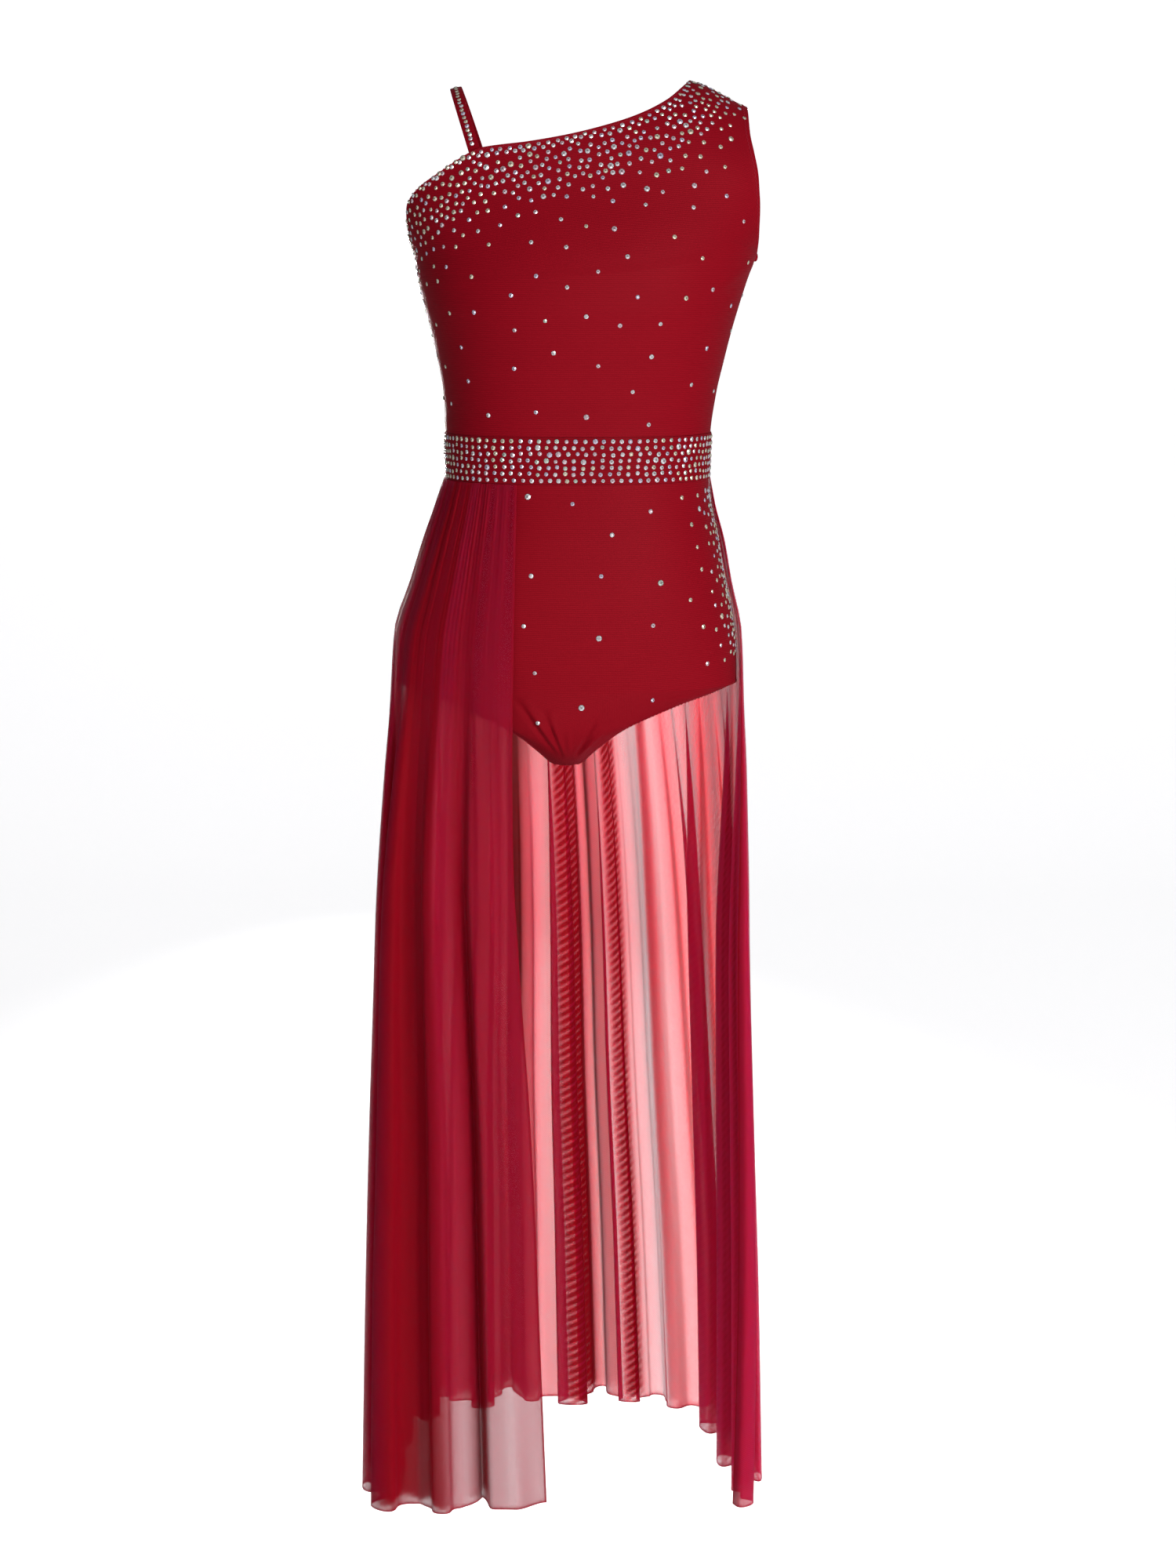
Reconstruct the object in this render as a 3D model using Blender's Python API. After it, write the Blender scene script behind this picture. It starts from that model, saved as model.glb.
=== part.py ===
# A one-shoulder dance dress: a stretch leotard with a jewelled waistband and a
# sheer mesh skirt that is open at the front. It keeps the hollow form that it has
# when worn. X runs to the viewer's right, Y away from the viewer, Z up, and the
# origin is on the body's axis at the height of the shoulder seam.

import math

import bpy
import numpy as np

MM = 0.001

# Cloth
BODY_WALL = 1.5  # stretch knit of the leotard, as a wall, mm
BAND_WALL = 2.0  # waistband, two layers
MESH_WALL = 1.2  # mesh of the skirt
SEAM_GAP = 0.3  # between pieces that are sewn together
BAND_PROUD = 1.4  # how far the waistband stands out from the leotard
BAND_COLUMNS, BAND_ROWS = 29, 4

# Heights, measured from the shoulder seam, mm
BAND_TOP = -323.0
BAND_BOTTOM = -366.0
HIP_SIDE = -560.0  # top of the leg opening at the side
HEM = -1356.0
SHOULDER_ROUND = 75.0  # height over which the shoulder rounds over

# The figure's outline. Each row is one level section: height, centre, half width,
# depth to the front and depth to the back.
TORSO_COLUMNS = ("z", "centre", "half", "front", "back")
TORSO = (
    (-640.0, -10.6, 162.5, 70.0, 100.0),
    (-560.0, -10.6, 162.5, 88.0, 125.0),
    (-522.0, -9.5, 160.5, 95.0, 129.0),
    (-500.0, -8.5, 156.5, 98.0, 128.0),
    (-474.0, -7.0, 150.0, 100.0, 124.0),
    (-451.0, -5.5, 143.5, 100.0, 118.0),
    (-416.0, -3.5, 135.5, 98.0, 106.0),
    (-394.0, -2.0, 128.6, 95.0, 97.0),
    (-367.0, 0.0, 123.8, 92.0, 88.0),
    (-323.0, 0.4, 125.1, 92.0, 86.0),
    (-287.0, 2.2, 128.4, 97.0, 86.0),
    (-258.0, 3.2, 134.0, 104.0, 88.0),
    (-228.0, 3.8, 140.9, 112.0, 92.0),
    (-203.0, 4.2, 147.8, 117.0, 97.0),
    (-175.0, 6.0, 155.5, 115.0, 103.0),
    (-160.0, 7.5, 159.3, 112.0, 106.0),
    (-139.0, 8.5, 166.5, 105.0, 108.0),
    (-106.0, 9.5, 177.0, 92.0, 107.0),
    (-60.0, 10.5, 185.0, 77.0, 98.0),
    (-24.0, 10.8, 186.0, 68.0, 88.0),
    (10.0, 10.8, 184.0, 58.0, 76.0),
)
ROUNDNESS = 2.3  # exponent of the section: 2 is an ellipse, more is squarer

# Line of the shoulders, seen from the front
SHOULDER_COLUMNS = ("x", "z")
SHOULDER = (
    (-172.0, -22.0),
    (-113.0, -4.0),
    (-60.0, 5.0),
    (60.0, 5.0),
    (104.0, 0.0),
    (157.0, -24.0),
)

# Slanting neckline, from the left underarm to the neck end of the shoulder seam
NECK_COLUMNS = ("x", "z")
NECK = (
    (-152.0, -106.0),
    (-144.0, -97.0),
    (-126.0, -84.6),
    (-97.0, -66.5),
    (-87.0, -62.3),
    (-43.0, -56.7),
    (-7.0, -50.4),
    (29.0, -41.4),
    (55.0, -32.7),
    (81.0, -19.5),
    (104.0, 0.0),
)
SHOULDER_TIP_X = 157.0  # outer end of the shoulder seam
BACK_NECK_DROP = 12.0  # how much lower the neckline is at the back
BODICE_COLUMNS = 23
SHOULDER_SPANS = 4  # the last of them lie on the shoulder seam
# Rows of the bodice, as shares of the way up, closest together under the arm
CLIMBS = (0.0, 0.11, 0.22, 0.33, 0.43, 0.5, 0.535, 0.56, 0.6, 0.66, 0.73, 0.8, 0.87, 0.94, 1.0)

# Armhole edges: height, and the share of the half width at which the edge lies
ARMHOLE_COLUMNS = ("z", "share")
LEFT_ARMHOLE = ((-150.0, 1.0), (-139.0, 0.99), (-125.0, 0.97), (-113.0, 0.945), (-106.0, 0.912))
RIGHT_ARMHOLE = (
    (-161.0, 1.0),
    (-147.0, 0.971),
    (-130.0, 0.935),
    (-106.0, 0.890),
    (-86.0, 0.857),
    (-65.0, 0.818),
    (-48.0, 0.796),
    (-24.0, 0.786),
)

# The brief below the hip. Each row is one section from the midline to the leg
# edge: the leg edge's distance from the midline, its Y and Z, and the midline's Y
# and Z. The last row is the seam between the legs.
FLAP_COLUMNS = ("edge_x", "edge_y", "edge_z", "mid_y", "mid_z")
FRONT_FLAP = (
    (162.5, 0.0, -560.0, -88.0, -560.0),
    (136.0, -42.0, -566.0, -87.5, -571.0),
    (110.0, -62.0, -573.0, -87.0, -582.0),
    (87.0, -74.0, -581.0, -86.0, -593.0),
    (65.0, -79.0, -590.0, -82.0, -604.0),
    (41.0, -71.0, -606.0, -73.0, -617.0),
    (23.0, -50.0, -624.0, -54.0, -630.0),
    (15.0, -22.0, -636.0, -25.0, -638.5),
    (14.0, 0.0, -639.0, 0.0, -640.0),
)
BACK_FLAP = (
    (162.5, 0.0, -560.0, 125.0, -560.0),
    (138.0, 62.0, -571.0, 121.0, -575.0),
    (108.0, 92.0, -586.0, 114.0, -590.0),
    (80.0, 98.0, -602.0, 103.0, -605.0),
    (54.0, 89.0, -617.0, 88.0, -618.5),
    (34.0, 68.0, -629.0, 66.0, -630.0),
    (21.0, 42.0, -636.0, 41.0, -636.5),
    (15.0, 18.0, -639.0, 17.0, -639.5),
    (14.0, 0.0, -639.0, 0.0, -640.0),
)
FLAP_BOW = 2.4  # how the sections of the brief bow between midline and leg edge
BRIEF_COLUMNS = 23
BRIEF_ROWS = 7  # from the waist to the hip

# Thin strap over the right shoulder
STRAP_WIDTH = 10.5
STRAP_LOW_X = -92.0  # where it leaves the neckline
STRAP_TOP_X = -113.0  # where it crosses the shoulder
STRAP_TUCK = 11.0  # how far its ends run behind the neckline
STRAP_CLEAR = 0.9  # between its ends and the cloth in front of them
STRAP_STEPS = 18

# The skirt's line, section by section: height, centre, half width, depth to the
# front and back, squareness of the front corners, X of the front free edge, and
# how far round towards the front the other free edge has come, in degrees.
SKIRT_COLUMNS = ("z", "centre", "half", "front", "back", "square", "edge_x", "end_turn")
SKIRT = (
    (-1356.0, -14.0, 182.0, 108.0, 186.0, 4.6, -30.5, 44.0),
    (-1174.0, -14.0, 179.0, 107.0, 180.0, 4.2, -37.0, 40.0),
    (-997.0, -14.5, 175.0, 106.0, 172.0, 3.7, -43.5, 35.0),
    (-816.0, -14.5, 170.5, 105.0, 162.0, 3.2, -54.5, 29.0),
    (-721.0, -13.5, 169.5, 105.0, 156.0, 3.0, -59.0, 24.0),
    (-640.0, -12.0, 168.5, 104.5, 149.0, 2.8, -59.5, 19.0),
    (-560.0, -10.5, 167.0, 103.5, 140.0, 2.6, -58.5, 14.0),
    (-511.0, -9.5, 164.3, 102.8, 136.0, 2.5, -57.5, 10.0),
    (-465.0, -6.5, 152.0, 103.0, 127.0, 2.4, -56.4, 6.0),
    (-425.0, -3.5, 142.0, 102.5, 114.5, 2.3, -55.5, 3.0),
    (-394.0, -2.0, 132.5, 99.0, 101.0, 2.3, -54.6, 1.0),
    (-366.0, 0.0, 125.4, 93.6, 89.6, 2.3, -54.0, 0.0),
)
BACK_SQUARE = 0.42  # the back corners' squareness beside that of the front
SEAM_AT = 0.255  # the left side seam, as a share of the way round

# The skirt's main folds at the hem: place as a share of the way round from the
# front edge, width in mm, how far it stands out (or in, if negative), how far its
# sides lap over its neighbours, and how much it leans over to one side.
FOLD_COLUMNS = ("place", "width", "depth", "lap", "lean")
FOLDS = (
    (0.000, 60.0, -18.0, 0.0, 0.0),
    (0.062, 40.0, -28.0, 4.0, 0.7),
    (0.103, 36.0, 14.0, 2.0, 0.0),
    (0.130, 26.0, -6.0, 0.0, 0.0),
    (0.155, 40.0, 26.0, 6.0, 0.0),
    (0.178, 30.0, -14.0, 3.0, 0.0),
    (0.198, 36.0, 18.0, 5.0, 0.0),
    (0.232, 44.0, -24.0, 8.0, 0.0),
    (0.273, 44.0, 16.0, 7.0, 0.0),
    (0.315, 44.0, -24.0, 8.0, 0.0),
    (0.358, 44.0, 18.0, 7.0, 0.0),
    (0.400, 44.0, -24.0, 8.0, 0.0),
    (0.440, 40.0, 18.0, 6.0, 0.0),
    (0.480, 44.0, -28.0, 7.0, 0.0),
    (0.512, 34.0, 28.0, 4.0, 0.4),
    (0.538, 32.0, -14.0, 2.0, 0.0),
    (0.583, 40.0, -26.0, 10.0, 0.0),
    (0.612, 34.0, 30.0, 4.0, 0.3),
    (0.646, 38.0, -14.0, 6.0, 0.0),
    (0.674, 30.0, 12.0, 2.0, 0.0),
    (0.702, 42.0, -20.0, 2.0, 0.0),
    (0.740, 36.0, 24.0, 5.0, 0.0),
    (0.790, 50.0, -34.0, 9.0, 0.0),
    (0.838, 40.0, 14.0, 7.0, 0.0),
    (0.886, 46.0, -28.0, 9.0, 0.0),
    (0.928, 36.0, 14.0, 6.0, 0.0),
    (0.960, 32.0, -14.0, 3.0, 0.0),
    (0.990, 30.0, 20.0, 4.0, 0.0),
)
LEAN_SHIFT = 0.35  # how far a leaning fold's crest moves, in half widths
LEAN_LAP = 1.6  # how much more a leaning fold laps

# How deep the folds and the gathers are on the way down: height, share of the
# folds' depth at the hem, and the gathers' depth in mm.
RISE_COLUMNS = ("z", "fold", "gather")
RISE = (
    (-1356.0, 1.0, 0.0),
    (-1174.0, 0.96, 0.0),
    (-997.0, 0.90, 0.0),
    (-816.0, 0.80, 0.1),
    (-640.0, 0.40, 0.3),
    (-560.0, 0.13, 0.4),
    (-465.0, 0.06, 1.0),
    (-416.0, 0.03, 1.7),
    (-386.0, 0.0, 1.6),
    (-366.0, 0.0, 0.5),
)
GATHERS = 54  # small pleats at the waist seam
COLUMNS_PER_GATHER = 4
SKIRT_LEVELS = (-366.15, -381.0, -416.0, -465.0, -540.0, -640.0, -790.0, -1040.0, -1356.0)


def column(rows, columns, name):
    return np.array([row[columns.index(name)] for row in rows])


def along(rows, columns, key, name, at):
    """A table's column at any place between its rows, on a smooth curve."""
    x = column(rows, columns, key)
    y = column(rows, columns, name)
    if x[0] > x[-1]:
        x, y = x[::-1], y[::-1]
    step = np.diff(x)
    slope = np.diff(y) / step
    tangent = np.concatenate([[slope[0]], np.zeros(len(x) - 2), [slope[-1]]])
    same_way = slope[:-1] * slope[1:] > 0
    mean = 2 * slope[:-1] * slope[1:] / np.where(same_way, slope[:-1] + slope[1:], 1)
    tangent[1:-1] = np.where(same_way, mean, 0)
    at = np.clip(np.asarray(at, float), x[0], x[-1])
    i = np.clip(np.searchsorted(x, at) - 1, 0, len(x) - 2)
    t = (at - x[i]) / step[i]
    return (
        y[i] * (1 + 2 * t) * (1 - t) ** 2
        + tangent[i] * step[i] * t * (1 - t) ** 2
        + y[i + 1] * t * t * (3 - 2 * t)
        + tangent[i + 1] * step[i] * t * t * (t - 1)
    )


def torso(name, z):
    return along(TORSO, TORSO_COLUMNS, "z", name, z)


def bulge(share):
    """Depth of a section at a share of its half width, from 1 at the middle to 0."""
    return (1 - np.abs(share) ** ROUNDNESS).clip(0) ** (1 / ROUNDNESS)


def share_at(angle):
    """Share of the half width at an angle, so that points are evenly spread."""
    return np.sign(angle) * np.abs(np.sin(angle)) ** (2 / ROUNDNESS)


def angle_at(share):
    return np.sign(share) * np.arcsin(np.clip(np.abs(share), 0, 1) ** (ROUNDNESS / 2))


def on_figure(share, z, side):
    """A point of the figure: side is -1 for the front and 1 for the back."""
    x = torso("centre", z) + torso("half", z) * share
    depth = torso("front" if side < 0 else "back", z) * bulge(share)
    below = along(SHOULDER, SHOULDER_COLUMNS, "x", "z", x) - z
    turn = 1 - np.clip(below, 0, SHOULDER_ROUND) / SHOULDER_ROUND
    y = side * (depth * np.sqrt((1 - turn**2).clip(0)) + SEAM_GAP / 2)
    return np.stack([x, y, z], axis=-1)


def unit(v):
    return v / np.maximum(np.linalg.norm(v, axis=-1, keepdims=True), 1e-9)


def normals_of(grid, outward):
    """Normals of a grid of points, turned to the side that outward points to."""
    down = np.gradient(grid, axis=0)
    across = np.gradient(grid, axis=1)
    n = unit(np.cross(across, down))
    return n * np.sign((n * outward).sum())


EDGES = {
    "first_row": np.s_[0],
    "last_row": np.s_[-1],
    "first_column": np.s_[:, 0],
    "last_column": np.s_[:, -1],
    "shoulder": np.s_[-1, -SHOULDER_SPANS - 1 :],
}


def lock(normals, edge, axis):
    """Keeps the rim along a seam in the plane of the seam."""
    flat = normals[EDGES[edge]].copy()
    flat[..., "xyz".index(axis)] = 0
    normals[EDGES[edge]] = unit(flat)


def make_material(name, colour, roughness):
    material = bpy.data.materials.new(name)
    material.use_nodes = True
    shader = material.node_tree.nodes["Principled BSDF"]
    shader.inputs["Base Color"].default_value = (*colour, 1.0)
    shader.inputs["Roughness"].default_value = roughness
    shader.inputs["Metallic"].default_value = 0.0
    return material


def cloth_wall(name, outer, inner, material):
    """One piece of cloth: the wall between two grids of points, closed all round."""
    rows, columns = outer.shape[:2]
    points = np.concatenate([outer.reshape(-1, 3), inner.reshape(-1, 3)]) * MM
    number = np.arange(rows * columns).reshape(rows, columns)
    under = number + rows * columns
    faces = []
    for r in range(rows - 1):
        for c in range(columns - 1):
            a, b, d, e = number[r, c], number[r, c + 1], number[r + 1, c + 1], number[r + 1, c]
            faces.append((a, b, d, e))
            faces.append((under[r, c], under[r + 1, c], under[r + 1, c + 1], under[r, c + 1]))
    rim = np.concatenate([number[0, :], number[1:, -1], number[-1, -2::-1], number[-2:0:-1, 0]])
    for a, b in zip(rim, np.roll(rim, -1)):
        faces.append((b, a, a + rows * columns, b + rows * columns))
    faces = np.array(faces)
    a, b, c, d = (points[faces[:, i]] for i in range(4))
    volume = (np.cross(b - a, c - a) * a).sum() + (np.cross(c - a, d - a) * a).sum()
    if volume < 0:
        faces = faces[:, ::-1]
    mesh = bpy.data.meshes.new(name)
    mesh.from_pydata(points.tolist(), [], faces.tolist())
    mesh.materials.append(material)
    mesh.shade_smooth()
    mesh.set_sharp_from_angle(angle=math.radians(60))
    piece = bpy.data.objects.new(name, mesh)
    bpy.context.scene.collection.objects.link(piece)
    return piece


def bodice(side):
    """Outer face of the bodice's front (side -1) or back (side 1), waist to top."""
    u = np.linspace(0, 1, BODICE_COLUMNS)
    neck_share = 1 - SHOULDER_SPANS / (BODICE_COLUMNS - 1)
    on_neck = np.clip(u / neck_share, 0, 1)
    on_shoulder = np.clip((u - neck_share) / (1 - neck_share), 0, 1)
    neck_from, neck_to = NECK[0][0], NECK[-1][0]
    top_x = neck_from + (neck_to - neck_from) * on_neck
    top_z = along(NECK, NECK_COLUMNS, "x", "z", top_x)
    if side > 0:
        top_z = top_z - back_neck_drop(top_x)
    top_x = top_x + (SHOULDER_TIP_X - neck_to) * on_shoulder
    seam_z = along(SHOULDER, SHOULDER_COLUMNS, "x", "z", top_x)
    top_z = np.where(on_shoulder > 0, seam_z, top_z)
    top_angle = angle_at((top_x - torso("centre", top_z)) / torso("half", top_z))
    top_u = (top_angle - top_angle[0]) / (top_angle[-1] - top_angle[0])
    waist_z = BAND_TOP + SEAM_GAP / 2
    grid = []
    for climb in CLIMBS:
        z = waist_z + (top_z - waist_z) * climb
        left = -angle_at(along(LEFT_ARMHOLE, ARMHOLE_COLUMNS, "z", "share", z[0]))
        right = angle_at(along(RIGHT_ARMHOLE, ARMHOLE_COLUMNS, "z", "share", z[-1]))
        angle = left + (right - left) * (u + (top_u - u) * climb**2)
        grid.append(on_figure(share_at(angle), z, side))
    grid = np.array(grid)
    grid[EDGES["shoulder"]][:, 1] = side * SEAM_GAP / 2  # front and back meet all along it
    return grid


def back_neck_drop(x):
    way = (x - NECK[0][0]) / (NECK[-1][0] - NECK[0][0])
    return BACK_NECK_DROP * np.sin(math.pi * way)


def make_bodice(name, side, material):
    outer = bodice(side)
    normals = normals_of(outer, np.array([0, side, 0]))
    lock(normals, "first_row", "z")
    for edge in ("first_column", "last_column", "shoulder"):
        lock(normals, edge, "y")
    return cloth_wall(name, outer, outer - normals * BODY_WALL, material)


def make_waistband(name, side, material):
    share = share_at(np.linspace(-math.pi / 2, math.pi / 2, BAND_COLUMNS))
    levels = np.linspace(BAND_TOP - SEAM_GAP / 2, BAND_BOTTOM + SEAM_GAP / 2, BAND_ROWS)
    flat = np.array([on_figure(share, np.full(BAND_COLUMNS, z), side) for z in levels])
    normals = normals_of(flat, np.array([0, side, 0]))
    lock(normals, "first_row", "z")
    lock(normals, "last_row", "z")
    lock(normals, "first_column", "y")
    lock(normals, "last_column", "y")
    outer = flat + normals * BAND_PROUD
    return cloth_wall(name, outer, outer - normals * BAND_WALL, material)


def brief(side):
    """Outer face of the brief's front or back, from the waist seam to the crotch."""
    angle = np.linspace(-math.pi / 2, math.pi / 2, BRIEF_COLUMNS)
    share = share_at(angle)
    rows = []
    for z in np.linspace(BAND_BOTTOM - SEAM_GAP / 2, HIP_SIDE, BRIEF_ROWS)[:-1]:
        rows.append(on_figure(share, np.full(BRIEF_COLUMNS, z), side))
    flap = FRONT_FLAP if side < 0 else BACK_FLAP
    for i, (edge_x, edge_y, edge_z, mid_y, mid_z) in enumerate(flap):
        flatter = min(1.0, i / 3)
        s = share + (angle / (math.pi / 2) - share) * flatter
        bow = (1 - flatter) * (1 - bulge(s)) + flatter * np.abs(s) ** FLAP_BOW
        x = torso("centre", HIP_SIDE) + edge_x * s
        y = mid_y + (edge_y - mid_y) * bow
        z = mid_z + (edge_z - mid_z) * s**2
        rows.append(np.stack([x, y + side * SEAM_GAP / 2, z], axis=-1))
    return np.array(rows)


def make_brief(name, side, material):
    outer = brief(side)
    normals = normals_of(outer, np.array([0, side, 0]))
    lock(normals, "first_row", "z")
    lock(normals, "first_column", "y")
    lock(normals, "last_column", "y")
    # Below the hip the rows run at a slant to the leg edge, so the way outwards is
    # taken from the midline's profile, which turns under between the legs.
    under = unit(np.gradient(outer[:, BRIEF_COLUMNS // 2], axis=0))
    angle = np.linspace(-math.pi / 2, math.pi / 2, BRIEF_COLUMNS)[:, None]
    for i in range(BRIEF_ROWS - 1, len(outer)):
        down = (i - BRIEF_ROWS + 1) / (len(outer) - BRIEF_ROWS)
        a = angle * (1 - 0.85 * min(1, 2.5 * down))
        forward = np.array([0, side * abs(under[i, 2]), -abs(under[i, 1])])
        normals[i] = np.cos(a) * forward + np.sin(a) * np.array([1, 0, 0])
    normals[-1] = (0, 0, -1)
    return cloth_wall(name, outer, outer - normals * BODY_WALL, material)


def make_strap(name, material):
    """The strap runs over the shoulder, and lies inside the neckline at both ends."""
    top_z = along(SHOULDER, SHOULDER_COLUMNS, "x", "z", STRAP_TOP_X)
    neck_z = along(NECK, NECK_COLUMNS, "x", "z", STRAP_LOW_X)
    front_drop = top_z - neck_z + STRAP_TUCK
    back_drop = front_drop + back_neck_drop(STRAP_LOW_X)
    front_turn, back_turn = (
        math.acos(1 - min(drop / SHOULDER_ROUND, 0.99)) for drop in (front_drop, back_drop)
    )
    face = []
    for turn in np.linspace(-front_turn, back_turn, STRAP_STEPS):
        fall = 1 - math.cos(turn)
        down = fall / (1 - math.cos(front_turn if turn < 0 else back_turn))
        x = STRAP_TOP_X + (STRAP_LOW_X - STRAP_TOP_X) * down
        x = x + np.array([-0.5, 0, 0.5]) * STRAP_WIDTH
        z = along(SHOULDER, SHOULDER_COLUMNS, "x", "z", x) - SHOULDER_ROUND * fall
        share = (x - torso("centre", z)) / torso("half", z)
        y = torso("front" if turn < 0 else "back", z) * bulge(share) * math.sin(turn)
        face.append(np.stack([x, y, z], axis=-1))
    face = np.array(face)
    normals = unit(np.cross(np.gradient(face, axis=1), np.gradient(face, axis=0)))
    normals *= np.sign(normals[STRAP_STEPS // 2, 1, 2])
    outer = face - normals * (BODY_WALL + STRAP_CLEAR)
    return cloth_wall(name, outer, outer - normals * BODY_WALL, material)


def skirt(name, z):
    return along(SKIRT, SKIRT_COLUMNS, "z", name, z)


def skirt_line(z, count=1441):
    """The skirt's smooth line at one height, from free edge to free edge."""
    centre, half = skirt("centre", z), skirt("half", z)
    # The angle is 0 at the front, and falls past the left side and the back
    start = math.asin((skirt("edge_x", z) - centre) / half)
    end = -math.radians(270 + skirt("end_turn", z))
    turn = np.linspace(start, end, count)
    s, c = np.sin(turn), np.cos(turn)
    square = skirt("square", z)
    square = np.where(c > 0, square, ROUNDNESS + (square - ROUNDNESS) * BACK_SQUARE)
    norm = (np.abs(s) ** square + np.abs(c) ** square) ** (1 / square)
    x = centre + half * s / norm
    y = np.where(c > 0, -skirt("front", z), -skirt("back", z)) * c / norm
    return np.stack([x, y], axis=-1)


def even(line, shares):
    """Points of a line at shares of its length, and the way outwards at each."""
    step = np.linalg.norm(np.diff(line, axis=0), axis=1)
    length = np.concatenate([[0], np.cumsum(step)])
    at = np.asarray(shares) * length[-1]
    points = np.stack([np.interp(at, length, line[:, k]) for k in range(2)], axis=-1)
    ahead = np.stack([np.interp(at + 1, length, line[:, k]) for k in range(2)], axis=-1)
    behind = np.stack([np.interp(at - 1, length, line[:, k]) for k in range(2)], axis=-1)
    way = unit(ahead - behind)
    return points, way, np.stack([-way[:, 1], way[:, 0]], axis=-1), length[-1]


def fold_shift(shares, length):
    """How far the folds at the hem move each point outwards and along the line."""
    out, slide = np.zeros(len(shares)), np.zeros(len(shares))
    for place, width, depth, lap, lean in FOLDS:
        t = (shares - place) * length / (width / 2)
        crest = np.clip(t - lean * LEAN_SHIFT, -1, 1)
        t = np.clip(t, -1, 1)
        out += depth * np.cos(math.pi * crest / 2) ** 2
        both_sides, one_side = np.sin(2 * math.pi * t), np.sin(math.pi * t)
        slide += lap * ((1 - abs(lean)) * both_sides - lean * LEAN_LAP * one_side)
    return out, slide


def skirt_grid(shares, levels):
    """The middle of the skirt's cloth."""
    hem_length = even(skirt_line(HEM), [0, 1])[3]
    out, slide = fold_shift(shares, hem_length)
    wave = np.sin(2 * math.pi * GATHERS * shares)
    rows = []
    for z in levels:
        points, way, outwards, length = even(skirt_line(z), shares)
        scale = along(RISE, RISE_COLUMNS, "z", "fold", z) * length / hem_length
        gather = along(RISE, RISE_COLUMNS, "z", "gather", z)
        points = points + outwards * (out * scale + gather * wave)[:, None]
        points = points + way * (slide * scale)[:, None]
        rows.append(np.concatenate([points, np.full((len(shares), 1), z)], axis=1))
    return np.array(rows)


def make_skirt(material):
    count = GATHERS * COLUMNS_PER_GATHER + 1
    shares = np.linspace(0, 1, count)
    grid = skirt_grid(shares, SKIRT_LEVELS)
    normals = normals_of(grid, grid * np.array([1, 1, 0]))
    lock(normals, "first_row", "z")
    lock(normals, "last_row", "z")
    seam = round(SEAM_AT * (count - 1))
    along_seam = unit(np.gradient(grid, axis=1)[:, seam]) * SEAM_GAP / 2
    for name, part, edge, way in (
        ("skirt_front", np.s_[:, : seam + 1], -1, -1),
        ("skirt_back", np.s_[:, seam:], 0, 1),
    ):
        piece, n = grid[part].copy(), normals[part]
        piece[:, edge] += way * along_seam
        cloth_wall(name, piece + n * MESH_WALL / 2, piece - n * MESH_WALL / 2, material)


def main():
    for thing in list(bpy.data.objects):
        bpy.data.objects.remove(thing)
    knit = make_material("stretch_knit", (0.36, 0.008, 0.028), 0.55)
    band = make_material("waistband_knit", (0.33, 0.008, 0.026), 0.50)
    mesh = make_material("sheer_mesh", (0.42, 0.010, 0.045), 0.60)
    make_bodice("bodice_front", -1, knit)
    make_bodice("bodice_back", 1, knit)
    make_waistband("waistband_front", -1, band)
    make_waistband("waistband_back", 1, band)
    make_brief("brief_front", -1, knit)
    make_brief("brief_back", 1, knit)
    make_strap("shoulder_strap", knit)
    make_skirt(mesh)


main()
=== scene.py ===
# Looks of the one-shoulder dance dress: stretch knit, sheer net, clear stones and
# stitching. The cloth keeps the form and the folds of its solids, with more columns,
# turned edges, small creases and gathers. Sizes are in mm unless a note says so.
import math
from functools import partial

import bpy
import numpy as np
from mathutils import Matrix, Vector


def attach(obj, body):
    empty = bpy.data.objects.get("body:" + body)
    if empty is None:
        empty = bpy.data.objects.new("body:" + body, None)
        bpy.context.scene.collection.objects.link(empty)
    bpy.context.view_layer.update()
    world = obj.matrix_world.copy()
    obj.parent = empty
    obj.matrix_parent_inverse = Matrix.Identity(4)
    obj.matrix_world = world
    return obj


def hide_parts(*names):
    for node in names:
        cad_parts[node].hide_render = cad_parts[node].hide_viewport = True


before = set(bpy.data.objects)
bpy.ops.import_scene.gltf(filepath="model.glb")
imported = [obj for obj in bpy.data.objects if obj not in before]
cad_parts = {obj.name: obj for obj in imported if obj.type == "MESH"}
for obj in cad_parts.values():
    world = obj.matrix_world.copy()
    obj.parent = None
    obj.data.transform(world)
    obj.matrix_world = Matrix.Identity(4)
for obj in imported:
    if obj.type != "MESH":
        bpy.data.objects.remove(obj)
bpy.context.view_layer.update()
scene = bpy.context.scene
dice = np.random.default_rng(11)
mm = 0.001
sharpAngle = math.radians(65)
print("frame loaded")

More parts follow.
